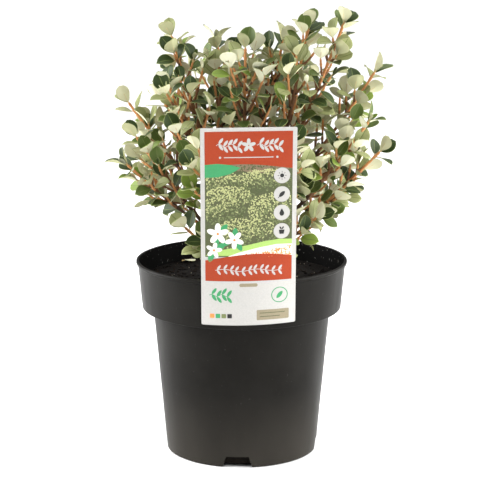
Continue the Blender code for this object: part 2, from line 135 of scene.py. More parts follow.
def rangeNode(nodes, links, source, low, high, fromLow=0.3, fromHigh=0.7):
    spread = nodes.new("ShaderNodeMapRange")
    spread.inputs["From Min"].default_value = fromLow
    spread.inputs["From Max"].default_value = fromHigh
    spread.inputs["To Min"].default_value = low
    spread.inputs["To Max"].default_value = high
    links.new(source, spread.inputs["Value"])
    return spread.outputs["Result"]


def bumpNode(nodes, links, shader, source, strength, distance):
    bump = nodes.new("ShaderNodeBump")
    bump.inputs["Strength"].default_value = strength
    bump.inputs["Distance"].default_value = distance
    links.new(source, bump.inputs["Height"])
    links.new(bump.outputs["Normal"], shader.inputs["Normal"])
    return bump


# camera and studio

studio = {
    "distance": 1541.9,         # camera in front of the pot's axis
    "height": 499.6,
    "side": -1.37,
    "pitch": 11.836,            # degrees it looks down
    "lens": 142.53,
    "sky": 1.10,                # brightness overhead, at eye level and as a backdrop
    "skyline": 0.05,
    "backdrop": 1.0,
    "key": 8.0,
    "fill": 8.0,
    "leftEdge": 55.0,
    "rightEdge": 50.0,
    "back": 80.0,
}


def makeCamera():
    data = bpy.data.cameras.new("camera")
    data.lens = studio["lens"]
    data.sensor_width = 36.0
    data.clip_end = 50.0
    camera = bpy.data.objects.new("camera", data)
    camera.location = Vector((studio["side"], -studio["distance"], studio["height"])) * mm
    camera.rotation_euler = (math.radians(90 - studio["pitch"]), 0, 0)
    bpy.context.scene.collection.objects.link(camera)
    bpy.context.scene.camera = camera


def makeSoftLight(name, place, size, power, target=(0, 0, 0.2)):
    data = bpy.data.lights.new(name, "AREA")
    data.shape = "RECTANGLE"
    data.size, data.size_y = size
    data.energy = power
    light = bpy.data.objects.new(name, data)
    light.location = place
    light.rotation_euler = (Vector(target) - Vector(place)).to_track_quat("-Z", "Y").to_euler()
    bpy.context.scene.collection.objects.link(light)


def makeStudio():
    world = bpy.data.worlds.new("studio")
    world.use_nodes = True
    nodes, links = world.node_tree.nodes, world.node_tree.links
    sky = nodes["Background"]
    sky.inputs["Color"].default_value = (1.0, 1.0, 1.0, 1.0)
    direction = nodes.new("ShaderNodeTexCoord")
    split = nodes.new("ShaderNodeSeparateXYZ")
    links.new(direction.outputs["Generated"], split.inputs["Vector"])
    links.new(rangeNode(nodes, links, split.outputs["Z"], studio["skyline"], studio["sky"]), sky.inputs["Strength"])
    backdrop = addNode(nodes, "ShaderNodeBackground", Strength=studio["backdrop"])
    backdrop.inputs["Color"].default_value = (1.0, 1.0, 1.0, 1.0)
    seen = nodes.new("ShaderNodeLightPath")
    blend = nodes.new("ShaderNodeMixShader")
    links.new(seen.outputs["Is Camera Ray"], blend.inputs[0])
    links.new(sky.outputs[0], blend.inputs[1])
    links.new(backdrop.outputs[0], blend.inputs[2])
    links.new(blend.outputs[0], nodes["World Output"].inputs["Surface"])
    bpy.context.scene.world = world
    bpy.context.scene.view_settings.view_transform = "Standard"
    makeSoftLight("key", (-0.9, -1.5, 1.7), (1.2, 1.2), studio["key"])
    makeSoftLight("fill", (1.35, -0.95, 0.5), (1.0, 1.0), studio["fill"])
    makeSoftLight("leftEdge", (-1.3, 0.15, 0.6), (1.25, 1.4), studio["leftEdge"])
    makeSoftLight("rightEdge", (1.35, -0.10, 0.6), (1.45, 1.4), studio["rightEdge"])
    makeSoftLight("back", (0.0, 4.2, 3.0), (6.0, 6.0), studio["back"], (0.0, 4.0, 0.0))
    paper, nodes, links, shader = newMaterial("paleFloor", (0.92, 0.92, 0.915), 0.85, 0.2)
    grain = noiseNode(nodes, links, 60.0)
    tint = rampNode(nodes, links, grain, [(0.35, (0.915, 0.915, 0.91)), (0.65, (0.925, 0.925, 0.92))])
    links.new(tint, shader.inputs["Base Color"])
    half = 9000.0
    corners = [(-half, -half, -0.4), (half, -half, -0.4), (half, half, -0.4), (-half, half, -0.4)]
    floor = makePiece("floor", corners, [[0, 1, 2, 3]], [paper])


makeCamera()
makeStudio()
print("camera and studio ready")


# pot

pot = {
    "sides": 180,
    "wall": 1.8,
    "floor": 2.4,
    "baseRadius": 62.7,
    "bodyTopRadius": 73.7,
    "collarBottom": 120.7,
    "collarBottomRadius": 82.6,
    "collarTop": 157.4,
    "collarTopRadius": 86.0,
    "lipRadius": 87.5,
    "lipWidth": 2.6,
    "height": 160.8,
    "notchTurn": -0.056,
    "notchWidth": 24.0,
    "notchTopWidth": 18.4,
    "notchHeight": 9.0,
    "notchDepth": 11.0,
    "dent": 0.10,               # how far the moulded wall wanders from true round
    "colours": ((0.0078, 0.0073, 0.0062), (0.0112, 0.0105, 0.0091)),
    "specular": 0.05,
    "dustAndFloorReflection": (0.0300, 0.0270, 0.0225),       # dust and a painted reflection of the white floor, strongest at the foot
    "dustAndReflectionHeight": 62.0,
}


def collarInnerRadius(height):
    ledge = pot["collarBottom"] + pot["wall"]
    low = pot["collarBottomRadius"] - pot["wall"]
    high = pot["collarTopRadius"] - pot["wall"]
    return low + (high - low) * (height - ledge) / (pot["collarTop"] - ledge)


def shadedPotInside():
    # painted shade: far darker than the outside, as under the crown; dull, with pale specks of dried lime
    material, nodes, links, shader = newMaterial("shadedPotInside", pot["colours"][0], 0.7, 0.035)
    specks = noiseNode(nodes, links, 340.0, 2.0, 0.5)
    # the dark stop is painted shade on the inner wall, the pale stop the dried lime specks
    tint = rampNode(nodes, links, specks, [(0.66, (0.0018, 0.0018, 0.0016)), (0.72, (0.09, 0.088, 0.08))])
    links.new(tint, shader.inputs["Base Color"])
    bumpNode(nodes, links, shader, noiseNode(nodes, links, 220.0, 4.0, 0.6), 0.15, 0.0005)
    return material


def potPlastic():
    material, nodes, links, shader = newMaterial("potPlastic", pot["colours"][0], 0.4, pot["specular"])
    cloud = noiseNode(nodes, links, 26.0, 5.0, 0.6)
    tint = rampNode(nodes, links, cloud, [(0.35, pot["colours"][0]), (0.72, pot["colours"][1])])
    specks = noiseNode(nodes, links, 420.0, 2.0, 0.5)
    dustAndFloorReflection = rampNode(nodes, links, specks, [(0.70, (0, 0, 0)), (0.80, (0.03, 0.03, 0.028))])
    mix = nodes.new("ShaderNodeMix")
    mix.data_type = "RGBA"
    mix.blend_type = "ADD"
    mix.inputs["Factor"].default_value = 0.55
    links.new(tint, mix.inputs["A"])
    links.new(dustAndFloorReflection, mix.inputs["B"])
    # dust and a painted reflection of the white floor: the colour lightens in patches towards the foot, up to its set
    # height
    place = nodes.new("ShaderNodeTexCoord")
    split = nodes.new("ShaderNodeSeparateXYZ")
    links.new(place.outputs["Object"], split.inputs["Vector"])
    towardsFoot = rangeNode(nodes, links, split.outputs["Z"], 1.0, 0.0, 0.0, pot["dustAndReflectionHeight"] * mm)
    patches = rangeNode(nodes, links, noiseNode(nodes, links, 34.0, 3.0, 0.5, (1, 1, 0.5)), 0.75, 1.1)
    amount = nodes.new("ShaderNodeMath")
    amount.operation = "MULTIPLY"
    links.new(towardsFoot, amount.inputs[0])
    links.new(patches, amount.inputs[1])
    footDustAndReflection = nodes.new("ShaderNodeMix")
    footDustAndReflection.data_type = "RGBA"
    footDustAndReflection.inputs["B"].default_value = (*pot["dustAndFloorReflection"], 1.0)
    links.new(amount.outputs["Value"], footDustAndReflection.inputs["Factor"])
    links.new(mix.outputs["Result"], footDustAndReflection.inputs["A"])
    links.new(footDustAndReflection.outputs["Result"], shader.inputs["Base Color"])
    streaks = noiseNode(nodes, links, 60.0, 4.0, 0.6, (1, 1, 0.12))
    links.new(rangeNode(nodes, links, streaks, 0.33, 0.48), shader.inputs["Roughness"])
    orange = noiseNode(nodes, links, 520.0, 3.0, 0.6)
    bumpNode(nodes, links, shader, orange, 0.10, 0.0004)
    return material


def roundedOutline(corners):
    # each corner is (radius, height, fillet)
    outline = []
    for index, (radius, height, fillet) in enumerate(corners):
        here = Vector((radius, height))
        if fillet == 0:
            outline.append(here)
            continue
        before = (Vector(corners[index - 1][:2]) - here)
        after = (Vector(corners[index + 1][:2]) - here)
        half = before.angle(after) / 2
        run = min(fillet / math.tan(half), 0.45 * before.length, 0.45 * after.length)
        start = here + before.normalized() * run
        end = here + after.normalized() * run
        for step in range(5):
            share = step / 4
            outline.append(start * (1 - share) ** 2 + here * 2 * share * (1 - share) + end * share ** 2)
    return outline


def densify(outline, longest):
    dense = [outline[0]]
    for before, after in zip(outline, outline[1:]):
        steps = max(1, math.ceil((after - before).length / longest))
        dense += [before.lerp(after, step / steps) for step in range(1, steps + 1)]
    return dense


def turnedShape(outline, sides, wander=0.0):
    points = []
    rings = []
    for place in outline:
        radius, height = place
        if radius < 1e-6:
            rings.append([len(points)] * sides)
            points.append((0.0, 0.0, height))
            continue
        ring = []
        for side in range(sides):
            angle = 2 * math.pi * side / sides
            swell = 0.0
            if wander:
                spot = Vector((math.cos(angle) * 1.6, math.sin(angle) * 1.6, height * 0.016))
                swell = wander * noise.noise(spot) - wander * 0.5
            reach = radius + swell
            ring.append(len(points))
            points.append((reach * math.cos(angle), reach * math.sin(angle), height))
        rings.append(ring)
    faces = []
    for lower, upper in zip(rings, rings[1:]):
        for side in range(sides):
            after = (side + 1) % sides
            corners = [lower[side], lower[after], upper[after], upper[side]]
            faces.append(list(dict.fromkeys(corners)))
    return points, faces


def makePot():
    ledge = pot["collarBottom"] + pot["wall"]
    lipInside = pot["lipRadius"] - pot["lipWidth"]
    corners = [
        (0, 0.6, 0),
        (pot["baseRadius"] - 6.0, 0.6, 0.4),
        (pot["baseRadius"] - 5.2, 0, 0.4),
        (pot["baseRadius"], 0, 0.9),
        (pot["bodyTopRadius"], pot["collarBottom"], 0.8),
        (pot["collarBottomRadius"], pot["collarBottom"], 0.9),
        (pot["collarTopRadius"], pot["collarTop"], 0.6),
        (pot["lipRadius"], pot["collarTop"] + 0.9, 0.7),
        (pot["lipRadius"], pot["height"], 0.9),
        (lipInside, pot["height"], 0.8),
        (collarInnerRadius(pot["collarTop"]), pot["collarTop"], 0.5),
        (collarInnerRadius(ledge), ledge, 0.6),
        (pot["bodyTopRadius"] - pot["wall"], ledge, 0.6),
        (pot["baseRadius"] - pot["wall"], pot["floor"], 0.6),
        (0, pot["floor"], 0),
    ]
    outline = densify(roundedOutline(corners), 9.0)
    points, faces = turnedShape(outline, pot["sides"], pot["dent"])
    innerStart = max(index for index, place in enumerate(outline) if place.y > pot["height"] - 0.01) + 2
    faceSlots = [1 if ring >= innerStart else 0 for ring in range(len(outline) - 1) for _ in range(pot["sides"])]
    piece = makePiece("nurseryPot", points, faces, [potPlastic(), shadedPotInside()], faceSlots)
    cutters = []
    for turn in range(4):
        footHalf = pot["notchWidth"] / 2
        topHalf = pot["notchTopWidth"] / 2
        section = [(-footHalf - 0.6, -2.0), (footHalf + 0.6, -2.0)]
        section += [(topHalf, pot["notchHeight"]), (-topHalf, pot["notchHeight"])]
        inner = -(pot["baseRadius"] - pot["notchDepth"])
        outer = -(pot["baseRadius"] + 6)
        shape = [(x, inner, z) for x, z in section] + [(x, outer, z) for x, z in section]
        sidesOf = [[3, 2, 1, 0], [4, 5, 6, 7], [5, 4, 0, 1], [6, 5, 1, 2], [7, 6, 2, 3], [4, 7, 3, 0]]
        cutter = makePiece("notch", shape, sidesOf, [])
        cutter.data.transform(Matrix.Rotation(turn * math.pi / 2 + pot["notchTurn"], 4, "Z"))
        cutters.append(cutter)
        cut = piece.modifiers.new("notch", "BOOLEAN")
        cut.operation = "DIFFERENCE"
        cut.object = cutter
    applyModifiers(piece)
    for cutter in cutters:
        bpy.data.objects.remove(cutter)
    piece.data.shade_smooth()
    piece.data.set_sharp_from_angle(angle=math.radians(32))
    settle(piece, "pot_plastic", "pot")


def applyModifiers(piece):
    graph = bpy.context.evaluated_depsgraph_get()
    mesh = bpy.data.meshes.new_from_object(piece.evaluated_get(graph))
    piece.modifiers.clear()
    piece.data = mesh


makePot()
print("pot ready")


# potting mix

mix = {
    "top": 146.0,
    "relief": 1.1,
    "chips": 900,
    "chipSize": (1.2, 4.6),
    "flecks": 46,
    "seed": 5,
}


def mixMaterials():
    soil, nodes, links, shader = newMaterial("pottingMix", (0.006, 0.0045, 0.0034), 0.95, 0.1)
    crumbs = noiseNode(nodes, links, 260.0, 6.0, 0.7)
    tint = rampNode(nodes, links, crumbs, [(0.3, (0.0016, 0.0012, 0.0009)), (0.7, (0.0070, 0.0050, 0.0035))])
    links.new(tint, shader.inputs["Base Color"])
    bumpNode(nodes, links, shader, crumbs, 0.7, 0.0015)
    kinds = [soil]
    for name, dark, light in (
        ("darkBark", (0.0024, 0.0018, 0.0014), (0.0075, 0.0052, 0.0036)),
        ("brownBark", (0.006, 0.004, 0.0026), (0.018, 0.011, 0.0066)),
        ("paleFleck", (0.22, 0.19, 0.14), (0.42, 0.38, 0.30)),
    ):
        chip, nodes, links, shader = newMaterial(name, light, 0.9, 0.12)
        grain = noiseNode(nodes, links, 300.0, 4.0, 0.6)
        links.new(rampNode(nodes, links, grain, [(0.3, dark), (0.7, light)]), shader.inputs["Base Color"])
        kinds.append(chip)
    return kinds


def mixHeight(x, y):
    spot = Vector((x, y, 0)) * 0.055
    fine = Vector((x, y, 7)) * 0.21
    return mix["top"] - 1.4 + mix["relief"] * (noise.noise(spot) + 0.5 * noise.noise(fine))


def makeMix():
    chance = random.Random(mix["seed"])
    edge = collarInnerRadius(mix["top"]) - 0.6
    ledge = pot["collarBottom"] + pot["wall"]
    rings = [(0.0, 1)] + [(edge * step / 34, 96) for step in range(1, 35)]
    body = MeshSum()
    points = [(0, 0, mixHeight(0, 0))]
    for radius, count in rings[1:]:
        for side in range(count):
            angle = 2 * math.pi * side / count
            x, y = radius * math.cos(angle), radius * math.sin(angle)
            points.append((x, y, mixHeight(x, y) if radius < edge else mix["top"] - 1.4))
    skirt = [(collarInnerRadius(ledge) - 0.6, ledge + 0.4), (pot["bodyTopRadius"] - pot["wall"] - 0.6, ledge + 0.4)]
    skirt.append((pot["baseRadius"] - pot["wall"] - 0.6, pot["floor"] + 0.4))
    for radius, height in skirt:
        for side in range(96):
            angle = 2 * math.pi * side / 96
            points.append((radius * math.cos(angle), radius * math.sin(angle), height))
    faces = [[0, 1 + side, 1 + (side + 1) % 96] for side in range(96)]
    for ring in range(len(rings) + len(skirt) - 2):
        for side in range(96):
            after = (side + 1) % 96
            low = 1 + ring * 96
            high = low + 96
            faces.append([low + side, high + side, high + after, low + after])
    last = len(points) - 96
    faces.append([last + side for side in range(96)][::-1])
    body.add(points, faces, 0)
    for index in range(mix["chips"]):
        radius = edge * math.sqrt(chance.random()) * 0.975
        angle = chance.uniform(0, 2 * math.pi)
        size = chance.uniform(*mix["chipSize"])
        pale = index < mix["flecks"]
        if pale:
            size = chance.uniform(0.7, 1.7)
        x, y = radius * math.cos(angle), radius * math.sin(angle)
        if math.hypot(x, y) + size > edge - 0.4:
            continue
        chip, chipFaces = chipShape(chance, size, 0.7 if pale else chance.uniform(0.18, 0.4))
        height = min(mixHeight(x, y) + size * 0.08, mix["top"] - 0.1 - size * 0.2)
        chip = [(x + cx, y + cy, height + cz) for cx, cy, cz in chip]
        body.add(chip, chipFaces, 3 if pale else chance.choice((1, 1, 2)))
    piece = body.make("pottingMixTop", mixMaterials(), 40)
    settle(piece, "potting_mix", "potting_mix")


def chipShape(chance, size, flat):
    # a bark chip: an uneven six-sided slab, tipped a little
    points = []
    for level in (-1, 1):
        for side in range(6):
            angle = math.pi * side / 3 + chance.uniform(-0.25, 0.25)
            reach = size * 0.5 * chance.uniform(0.65, 1.0) * (1.0 if level < 0 else 0.82)
            points.append(Vector((reach * math.cos(angle), reach * 0.6 * math.sin(angle), level * size * flat * 0.5)))
    faces = [[5, 4, 3, 2, 1, 0], [6, 7, 8, 9, 10, 11]]
    faces += [[side, (side + 1) % 6, 6 + (side + 1) % 6, 6 + side] for side in range(6)]
    turn = Matrix.Rotation(chance.uniform(0, 2 * math.pi), 3, "Z") @ Matrix.Rotation(chance.uniform(-0.5, 0.5), 3, "X")
    return [turn @ point for point in points], faces


makeMix()
print("potting mix ready")


# shrub

shrub = {
    "trunkTop": 171.0,
    "trunkLean": (0.06, 0.02, 1.0),
    "stemTip": 1.0,             # radius at a leader's tip
    "pathSteps": 32,
    "margin": 0.2,              # how far a leaf keeps inside its own mass's space
    "back": 100.5,
    "clearance": 0.5,
    # parent, place on it, tip, sag, share that is bare bough, radius at the root and
    # where the foliage starts, the seed of its leaves and how full its side shoots are
    "limbs": {
        "left_low": ("trunk", 155.0, (-85, -22, 266), 9, 0.40, 2.3, 1.7, 65852, 0.65),
        "left_mid": ("trunk", 161.0, (-59, -22, 309), 9, 0.40, 2.3, 1.8, 78055, 1.0),
        "left_high": ("trunk", 166.5, (-57, 2, 345), 12, 0.40, 2.6, 2.0, 93382, 0.65),
        "centre": ("trunk", 169.0, (3, -14, 337), 0, 0.36, 2.4, 1.8, 11540, 1.0),
        "right_high": ("trunk", 166.0, (82, -14, 357), 12, 0.38, 2.6, 1.9, 51000, 0.5),
        "right_mid": ("trunk", 160.0, (102, -26, 279), 14, 0.38, 2.3, 1.7, 59353, 0.5),
        "right_low": ("trunk", 154.0, (113, -4, 251), 9, 0.38, 2.2, 1.6, 5358, 0.5),
        "back_left": ("trunk", 163.0, (-54, 64, 293), 10, 0.38, 2.3, 1.7, 53386, 0.65),
        "back_mid": ("trunk", 157.0, (-2, 84, 300), 12, 0.38, 2.3, 1.7, 22256, 1.0),
        "back_right": ("trunk", 163.5, (56, 66, 300), 10, 0.38, 2.3, 1.7, 39627, 1.0),
        "front_left": ("trunk", 158.0, (-34, -60, 262), 10, 0.38, 2.2, 1.6, 44543, 1.0),
        "front_right": ("trunk", 157.5, (40, -64, 268), 10, 0.38, 2.2, 1.6, 13088, 1.0),
        "left_side": ("left_mid", 0.24, (-93, 14, 289), 6, 0.34, 1.8, 1.5, 41428, 0.5),
        "left_inner": ("left_high", 0.26, (-20, 26, 338), 4, 0.30, 1.9, 1.5, 89198, 0.8),
        "right_inner": ("centre", 0.24, (34, 20, 339), 6, 0.30, 1.9, 1.5, 25157, 0.8),
        "right_top": ("right_high", 0.30, (54, -4, 354), 2, 0.26, 1.8, 1.5, 7530, 0.8),
        "right_side": ("right_high", 0.20, (109, 14, 314), 14, 0.34, 1.9, 1.5, 25874, 0.65),
        "back_left_low": ("back_left", 0.22, (-86, 50, 236), 6, 0.34, 1.7, 1.4, 91584, 1.0),
        "back_right_low": ("back_right", 0.22, (92, 50, 242), 6, 0.34, 1.7, 1.4, 73907, 1.0),
        "back_inner": ("back_right", 0.22, (22, 50, 318), 4, 0.32, 1.8, 1.5, 138, 1.0),
        "left_low_side": ("left_low", 0.30, (-92, -32, 245), 4, 0.30, 1.6, 1.3, 55126, 0.8),
        "right_low_side": ("right_low", 0.26, (84, -28, 227), 2, 0.30, 1.6, 1.3, 4819, 0.65),
        "low_left": ("trunk", 151.5, (-46, -34, 194), 4, 0.34, 1.6, 1.3, 56999, 0.8),
        "low_right": ("trunk", 151.0, (60, -40, 203), 4, 0.36, 1.6, 1.3, 19327, 1.0),
    },
}

leaf = {
    "length": 15.8,             # blade, without its stalk
    "width": 0.80,              # of its length
    "stalk": 2.0,
    "thickness": 0.5,
    "drawn": 0.93,              # of the room that it was given
    # gaps between leaf pairs, from a shoot's tip down: the pair under the tip, then a
    # longer bare piece, then even steps
    "leaderGaps": ((4.0, 7.5), (14.0, 23.0), (9.5, 13.0)),
    "shootGaps": ((4.0, 7.0), (8.5, 13.0), (9.0, 12.0)),
    "shootReach": (0, 0, 18, 25, 31, 36, 39),
    "twigletReach": (9.0, 15.0),
    "twigletShare": 0.45,
    "tilt": 0.42,               # how far a leaf may roll or tip out of its pair's plane
    "swings": (0.0, 0.45, -0.45, 0.9),
    "faceFront": 0.6,           # share of shoots whose end pair stands front to back
}

card = {
    "width": 74.5,
    "bottom": 125.0,
    "top": 286.0,
    "thickness": 0.5,
    "centre": 5.3,
    "roll": math.radians(0.9),
    "lean": 0.127,
    "bow": 8.0,
    "lipGap": 0.3,
}

tongue = {"width": 24.0, "drop": 12.5, "thickness": 0.7}


def cardBack(height):
    return pot["lipRadius"] + card["lipGap"] + (height - pot["height"]) * card["lean"]


def pathPoint(path, share):
    place = max(0.0, min(share, 1.0)) * (len(path) - 1)
    index = min(int(place), len(path) - 2)
    return path[index].lerp(path[index + 1], place - index)


def pathLength(path):
    return sum((after - before).length for before, after in zip(path, path[1:]))


def trunkAxis(height):
    return Vector(shrub["trunkLean"]) * (height - mix["top"]) + Vector((0, 0, mix["top"]))


def curve(root, middle, tip, steps):
    path = []
    for step in range(steps + 1):
        share = step / steps
        path.append(root * (1 - share) ** 2 + middle * 2 * share * (1 - share) + tip * share ** 2)
    return path


def limbPaths():
    paths = {}
    for name, (parent, place, tip, sag, *_) in shrub["limbs"].items():
        root = trunkAxis(place) if parent == "trunk" else pathPoint(paths[parent], place)
        tip = Vector(tip)
        middle = (root + tip) / 2 - up * sag
        paths[name] = curve(root, middle, tip, shrub["pathSteps"])
    return paths


def limbRadius(name, share):
    bare, thick, thin = shrub["limbs"][name][4:7]
    if share < bare:
        return thick + (thin - thick) * share / bare
    return thin + (shrub["stemTip"] - thin) * (share - bare) / (1 - bare)


paths = limbPaths()
leaders = {}
limbClouds = {}
for name, path in paths.items():
    bare = shrub["limbs"][name][4]
    shares = np.linspace(bare, 1.0, 33)
    leaders[name] = np.array([tuple(pathPoint(path, share)) for share in shares])
    shares = np.linspace(0.0, bare, 41)
    cloud = np.array([tuple(pathPoint(path, share)) for share in shares])
    limbClouds[name] = (cloud, np.array([limbRadius(name, share) for share in shares]))


def nearest(points, cloud):
    return np.sqrt(((points[:, None, :] - cloud[None, :, :]) ** 2).sum(2)).min(1)


def keepsClear(points, name):
    points = np.array([tuple(point) for point in points])
    own = nearest(points, leaders[name])
    for other, cloud in leaders.items():
        if other != name and (own + shrub["margin"] > nearest(points, cloud)).any():
            return False
    for cloud, radii in limbClouds.values():
        reach = np.sqrt(((points[:, None, :] - cloud[None, :, :]) ** 2).sum(2)) - radii[None, :]
        if (reach.min(1) < shrub["clearance"]).any():
            return False
    for x, y, z in points:
        if z < mix["top"] + 1.5 or y > shrub["back"]:
            return False
        if z < pot["height"] + 1.5 and math.hypot(x, y) > collarInnerRadius(mix["top"]) - 2.0:
            return False
        if abs(x - card["centre"]) < card["width"] / 2 + 3 and z < card["top"] + 3:
            if y < -cardBack(pot["height"]) + 5.0 + (z < pot["height"] + 8) * 6:
                return False
    return True


def pairDirections(tangent, turn, spread):
    # at a turn of 0 the pair stands front to back
    front = Vector((0, -1, 0))
    across = (front - tangent * tangent.dot(front)).normalized()
    across = Matrix.Rotation(turn, 3, tangent) @ across
    for sign in (1, -1):
        yield (tangent * math.cos(spread) + across * sign * math.sin(spread)).normalized()


def drawGaps(chance, ranges):
    return [0.6] + [chance.uniform(*ranges[min(index, len(ranges) - 1)]) for index in range(14)]


def drawTurn(chance):
    if chance.random() < leaf["faceFront"]:
        return chance.gauss(0, 0.35)
    return chance.uniform(0, math.pi)


def shootNodes(path, gaps):
    # places of a leaf pair along a shoot, counted back from its tip
    length = pathLength(path)
    back = 0.0
    index = 0
    while True:
        back += gaps[min(index, len(gaps) - 1)]
        if back > length - 2.5:
            return
        share = 1 - back / length
        tangent = (pathPoint(path, share + 0.03) - pathPoint(path, share - 0.03)).normalized()
        yield index, pathPoint(path, share), tangent, share
        index += 1


def leafOutline(root, axis, upper, length, width):
    # a plain stand-in of the leaf's outline, for the tests of room
    side = upper.cross(axis).normalized()
    face = axis.cross(side).normalized()
    cup = face * 0.08 * length
    start = root + axis * leaf["stalk"] * 0.8
    points = [
        start,
        start + axis * 0.45 * length - side * 0.5 * width + cup,
        start + axis * 0.86 * length - side * 0.34 * width + cup,
        start + axis * length,
        start + axis * 0.86 * length + side * 0.34 * width + cup,
        start + axis * 0.45 * length + side * 0.5 * width + cup,
    ]
    return points, [[0, 1, 2], [0, 2, 3], [0, 3, 4], [0, 4, 5]]


def sideShoot(root, axis, length):
    middle = root + axis * length * 0.5
    tip = root + axis * length * 0.84 + up * length * 0.32
    return curve(root, middle, tip, 8)


class Spray:
    # the twigs and leaves of one mass
    def __init__(self, name):
        self.name = name
        self.chance = random.Random(shrub["limbs"][name][7])
        self.twigs = []
        self.leaves = []
        self.trees = []

    def crosses(self, shape, key):
        tree = BVHTree.FromPolygons(*shape)
        middle = sum(shape[0], Vector()) / len(shape[0])
        for other, otherKey, place, reach in self.trees:
            if otherKey != key and (place - middle).length < reach + 16 and tree.overlap(other):
                return True
        self.pending = (tree, middle)
        return False

    def remember(self, key, reach):
        self.trees.append((self.pending[0], key, self.pending[1], reach))

    def addTwig(self, path, thick, thin, level, gaps):
        shape = tubeShape(path[::2], [thick] * len(path[::2]), 3)[:2]
        if not keepsClear(path[2:], self.name) or self.crosses(shape, level):
            return False
        self.remember(level, pathLength(path) / 2)
        self.twigs.append((path, thick, thin, level, gaps))
        return True

    def addPair(self, key, place, tangent, turn, spread, size, narrow=1.0):
        chance = self.chance
        for axis in pairDirections(tangent, turn, spread):
            tilt = Vector((chance.uniform(-1, 1), chance.uniform(-1, 1), 0.3)) * leaf["tilt"]
            length = leaf["length"] * size * chance.uniform(0.9, 1.1)
            width = length * leaf["width"] * narrow * chance.uniform(0.88, 1.1)
            for swing in leaf["swings"]:
                turned = Matrix.Rotation(swing, 3, tangent) @ axis
                upper = (tangent - turned * tangent.dot(turned)).normalized()
                upper = (upper + tilt).normalized()
                shape = leafOutline(place, turned, upper, length, width)
                if keepsClear(shape[0], self.name) and not self.crosses(shape, key):
                    self.remember(key, length / 2)
                    self.leaves.append((place, turned, upper, length, width, key[0]))
                    break

    def dress(self, path, gaps, turn, shootKey, skip=()):
        chance = self.chance
        for index, place, tangent, _ in shootNodes(path, gaps):
            if index in skip:
                continue
            key = (shootKey, index)
            if index == 0:
                self.addPair(key, place, tangent, turn, math.radians(chance.uniform(14, 32)), 1.08)
                self.addPair((shootKey, "bud"), place + tangent * 0.8, tangent, turn + math.pi / 2,
                             math.radians(chance.uniform(10, 20)), chance.uniform(0.45, 0.62), 0.62)
            else:
                spread = math.radians(min(chance.uniform(36, 58) + 5 * index, 76))
                self.addPair(key, place, tangent, turn + index * math.pi / 2, spread, 1.0, 0.92)


def growSpray(name):
    spray = Spray(name)
    chance = spray.chance
    bare, _, thin, _, fullness = shrub["limbs"][name][4:9]
    full = paths[name]
    leader = [pathPoint(full, bare + (1 - bare) * step / 32) for step in range(33)]
    gaps = drawGaps(chance, leaf["leaderGaps"])
    spray.twigs.append((leader, thin, shrub["stemTip"], "leader", gaps))
    turn = drawTurn(chance)
    spray.crosses(tubeShape(leader[::4], [thin] * 9, 3)[:2], "leader")
    forks = []
    shoots = []
    for index, place, tangent, share in shootNodes(leader, gaps):
        reach = leaf["shootReach"][min(index, len(leaf["shootReach"]) - 1)]
        if not reach:
            continue
        spread = math.radians(chance.uniform(38, 52))
        grown = 0
        for axis in pairDirections(tangent, turn + index * math.pi / 2, spread):
            size = chance.uniform(0.75, 1.2) * fullness
            for shrink in (1.0, 0.75, 0.55):
                path = sideShoot(place, axis, reach * size * shrink)
                ownGaps = drawGaps(chance, leaf["shootGaps"])
                if spray.addTwig(path, 1.05, 0.75, "shoot", ownGaps):
                    shoots.append((path, ownGaps))
                    grown += 1
                    break
        if grown == 2 and chance.random() < 0.5:
            forks.append(index)
    spray.dress(leader, gaps, turn, "leader", forks)
    for number, (path, ownGaps) in enumerate(shoots):
        ownTurn = drawTurn(chance)
        twiglets = []
        for index, place, tangent, share in shootNodes(path, ownGaps):
            if index < 2 or chance.random() > leaf["twigletShare"]:
                continue
            axis = next(pairDirections(tangent, ownTurn + index * math.pi / 2, math.radians(46)))
            twiglet = sideShoot(place, axis, chance.uniform(*leaf["twigletReach"]))
            twigletGaps = drawGaps(chance, leaf["shootGaps"])
            if spray.addTwig(twiglet, 0.8, 0.6, "twiglet", twigletGaps):
                twiglets.append((twiglet, twigletGaps))
        spray.dress(path, ownGaps, ownTurn, f"shoot{number}")
        for place, (twiglet, twigletGaps) in enumerate(twiglets):
            spray.dress(twiglet, twigletGaps, drawTurn(chance), f"twiglet{number}.{place}")
    return spray


def frames(path):
    across = None
    for index, point in enumerate(path):
        before = path[max(index - 1, 0)]
        after = path[min(index + 1, len(path) - 1)]
        tangent = (after - before).normalized()
        if across is None:
            across = tangent.orthogonal().normalized()
        across = (across - tangent * across.dot(tangent)).normalized()
        yield point, across, tangent.cross(across)


def tubeShape(path, radii, sides, relief=None):
    points = []
    for ring, ((centre, across, beside), radius) in enumerate(zip(frames(path), radii)):
        for side in range(sides):
            angle = 2 * math.pi * side / sides
            offset = across * math.cos(angle) + beside * math.sin(angle)
            reach = radius + (relief(centre, angle, radius) if relief else 0)
            points.append(centre + offset * reach)
    faces = [list(range(sides))[::-1]]
    for ring in range(len(path) - 1):
        for side in range(sides):
            after = (side + 1) % sides
            low = ring * sides
            high = low + sides
            faces.append([low + side, low + after, high + after, high + side])
    last = (len(path) - 1) * sides
    faces.append([last + side for side in range(sides)])
    return points, faces


sprays = {name: growSpray(name) for name in shrub["limbs"]}
leafCount = sum(len(spray.leaves) for spray in sprays.values())
print("shrub grown:", leafCount, "leaves", sum(len(spray.twigs) for spray in sprays.values()), "twigs")


# leaves

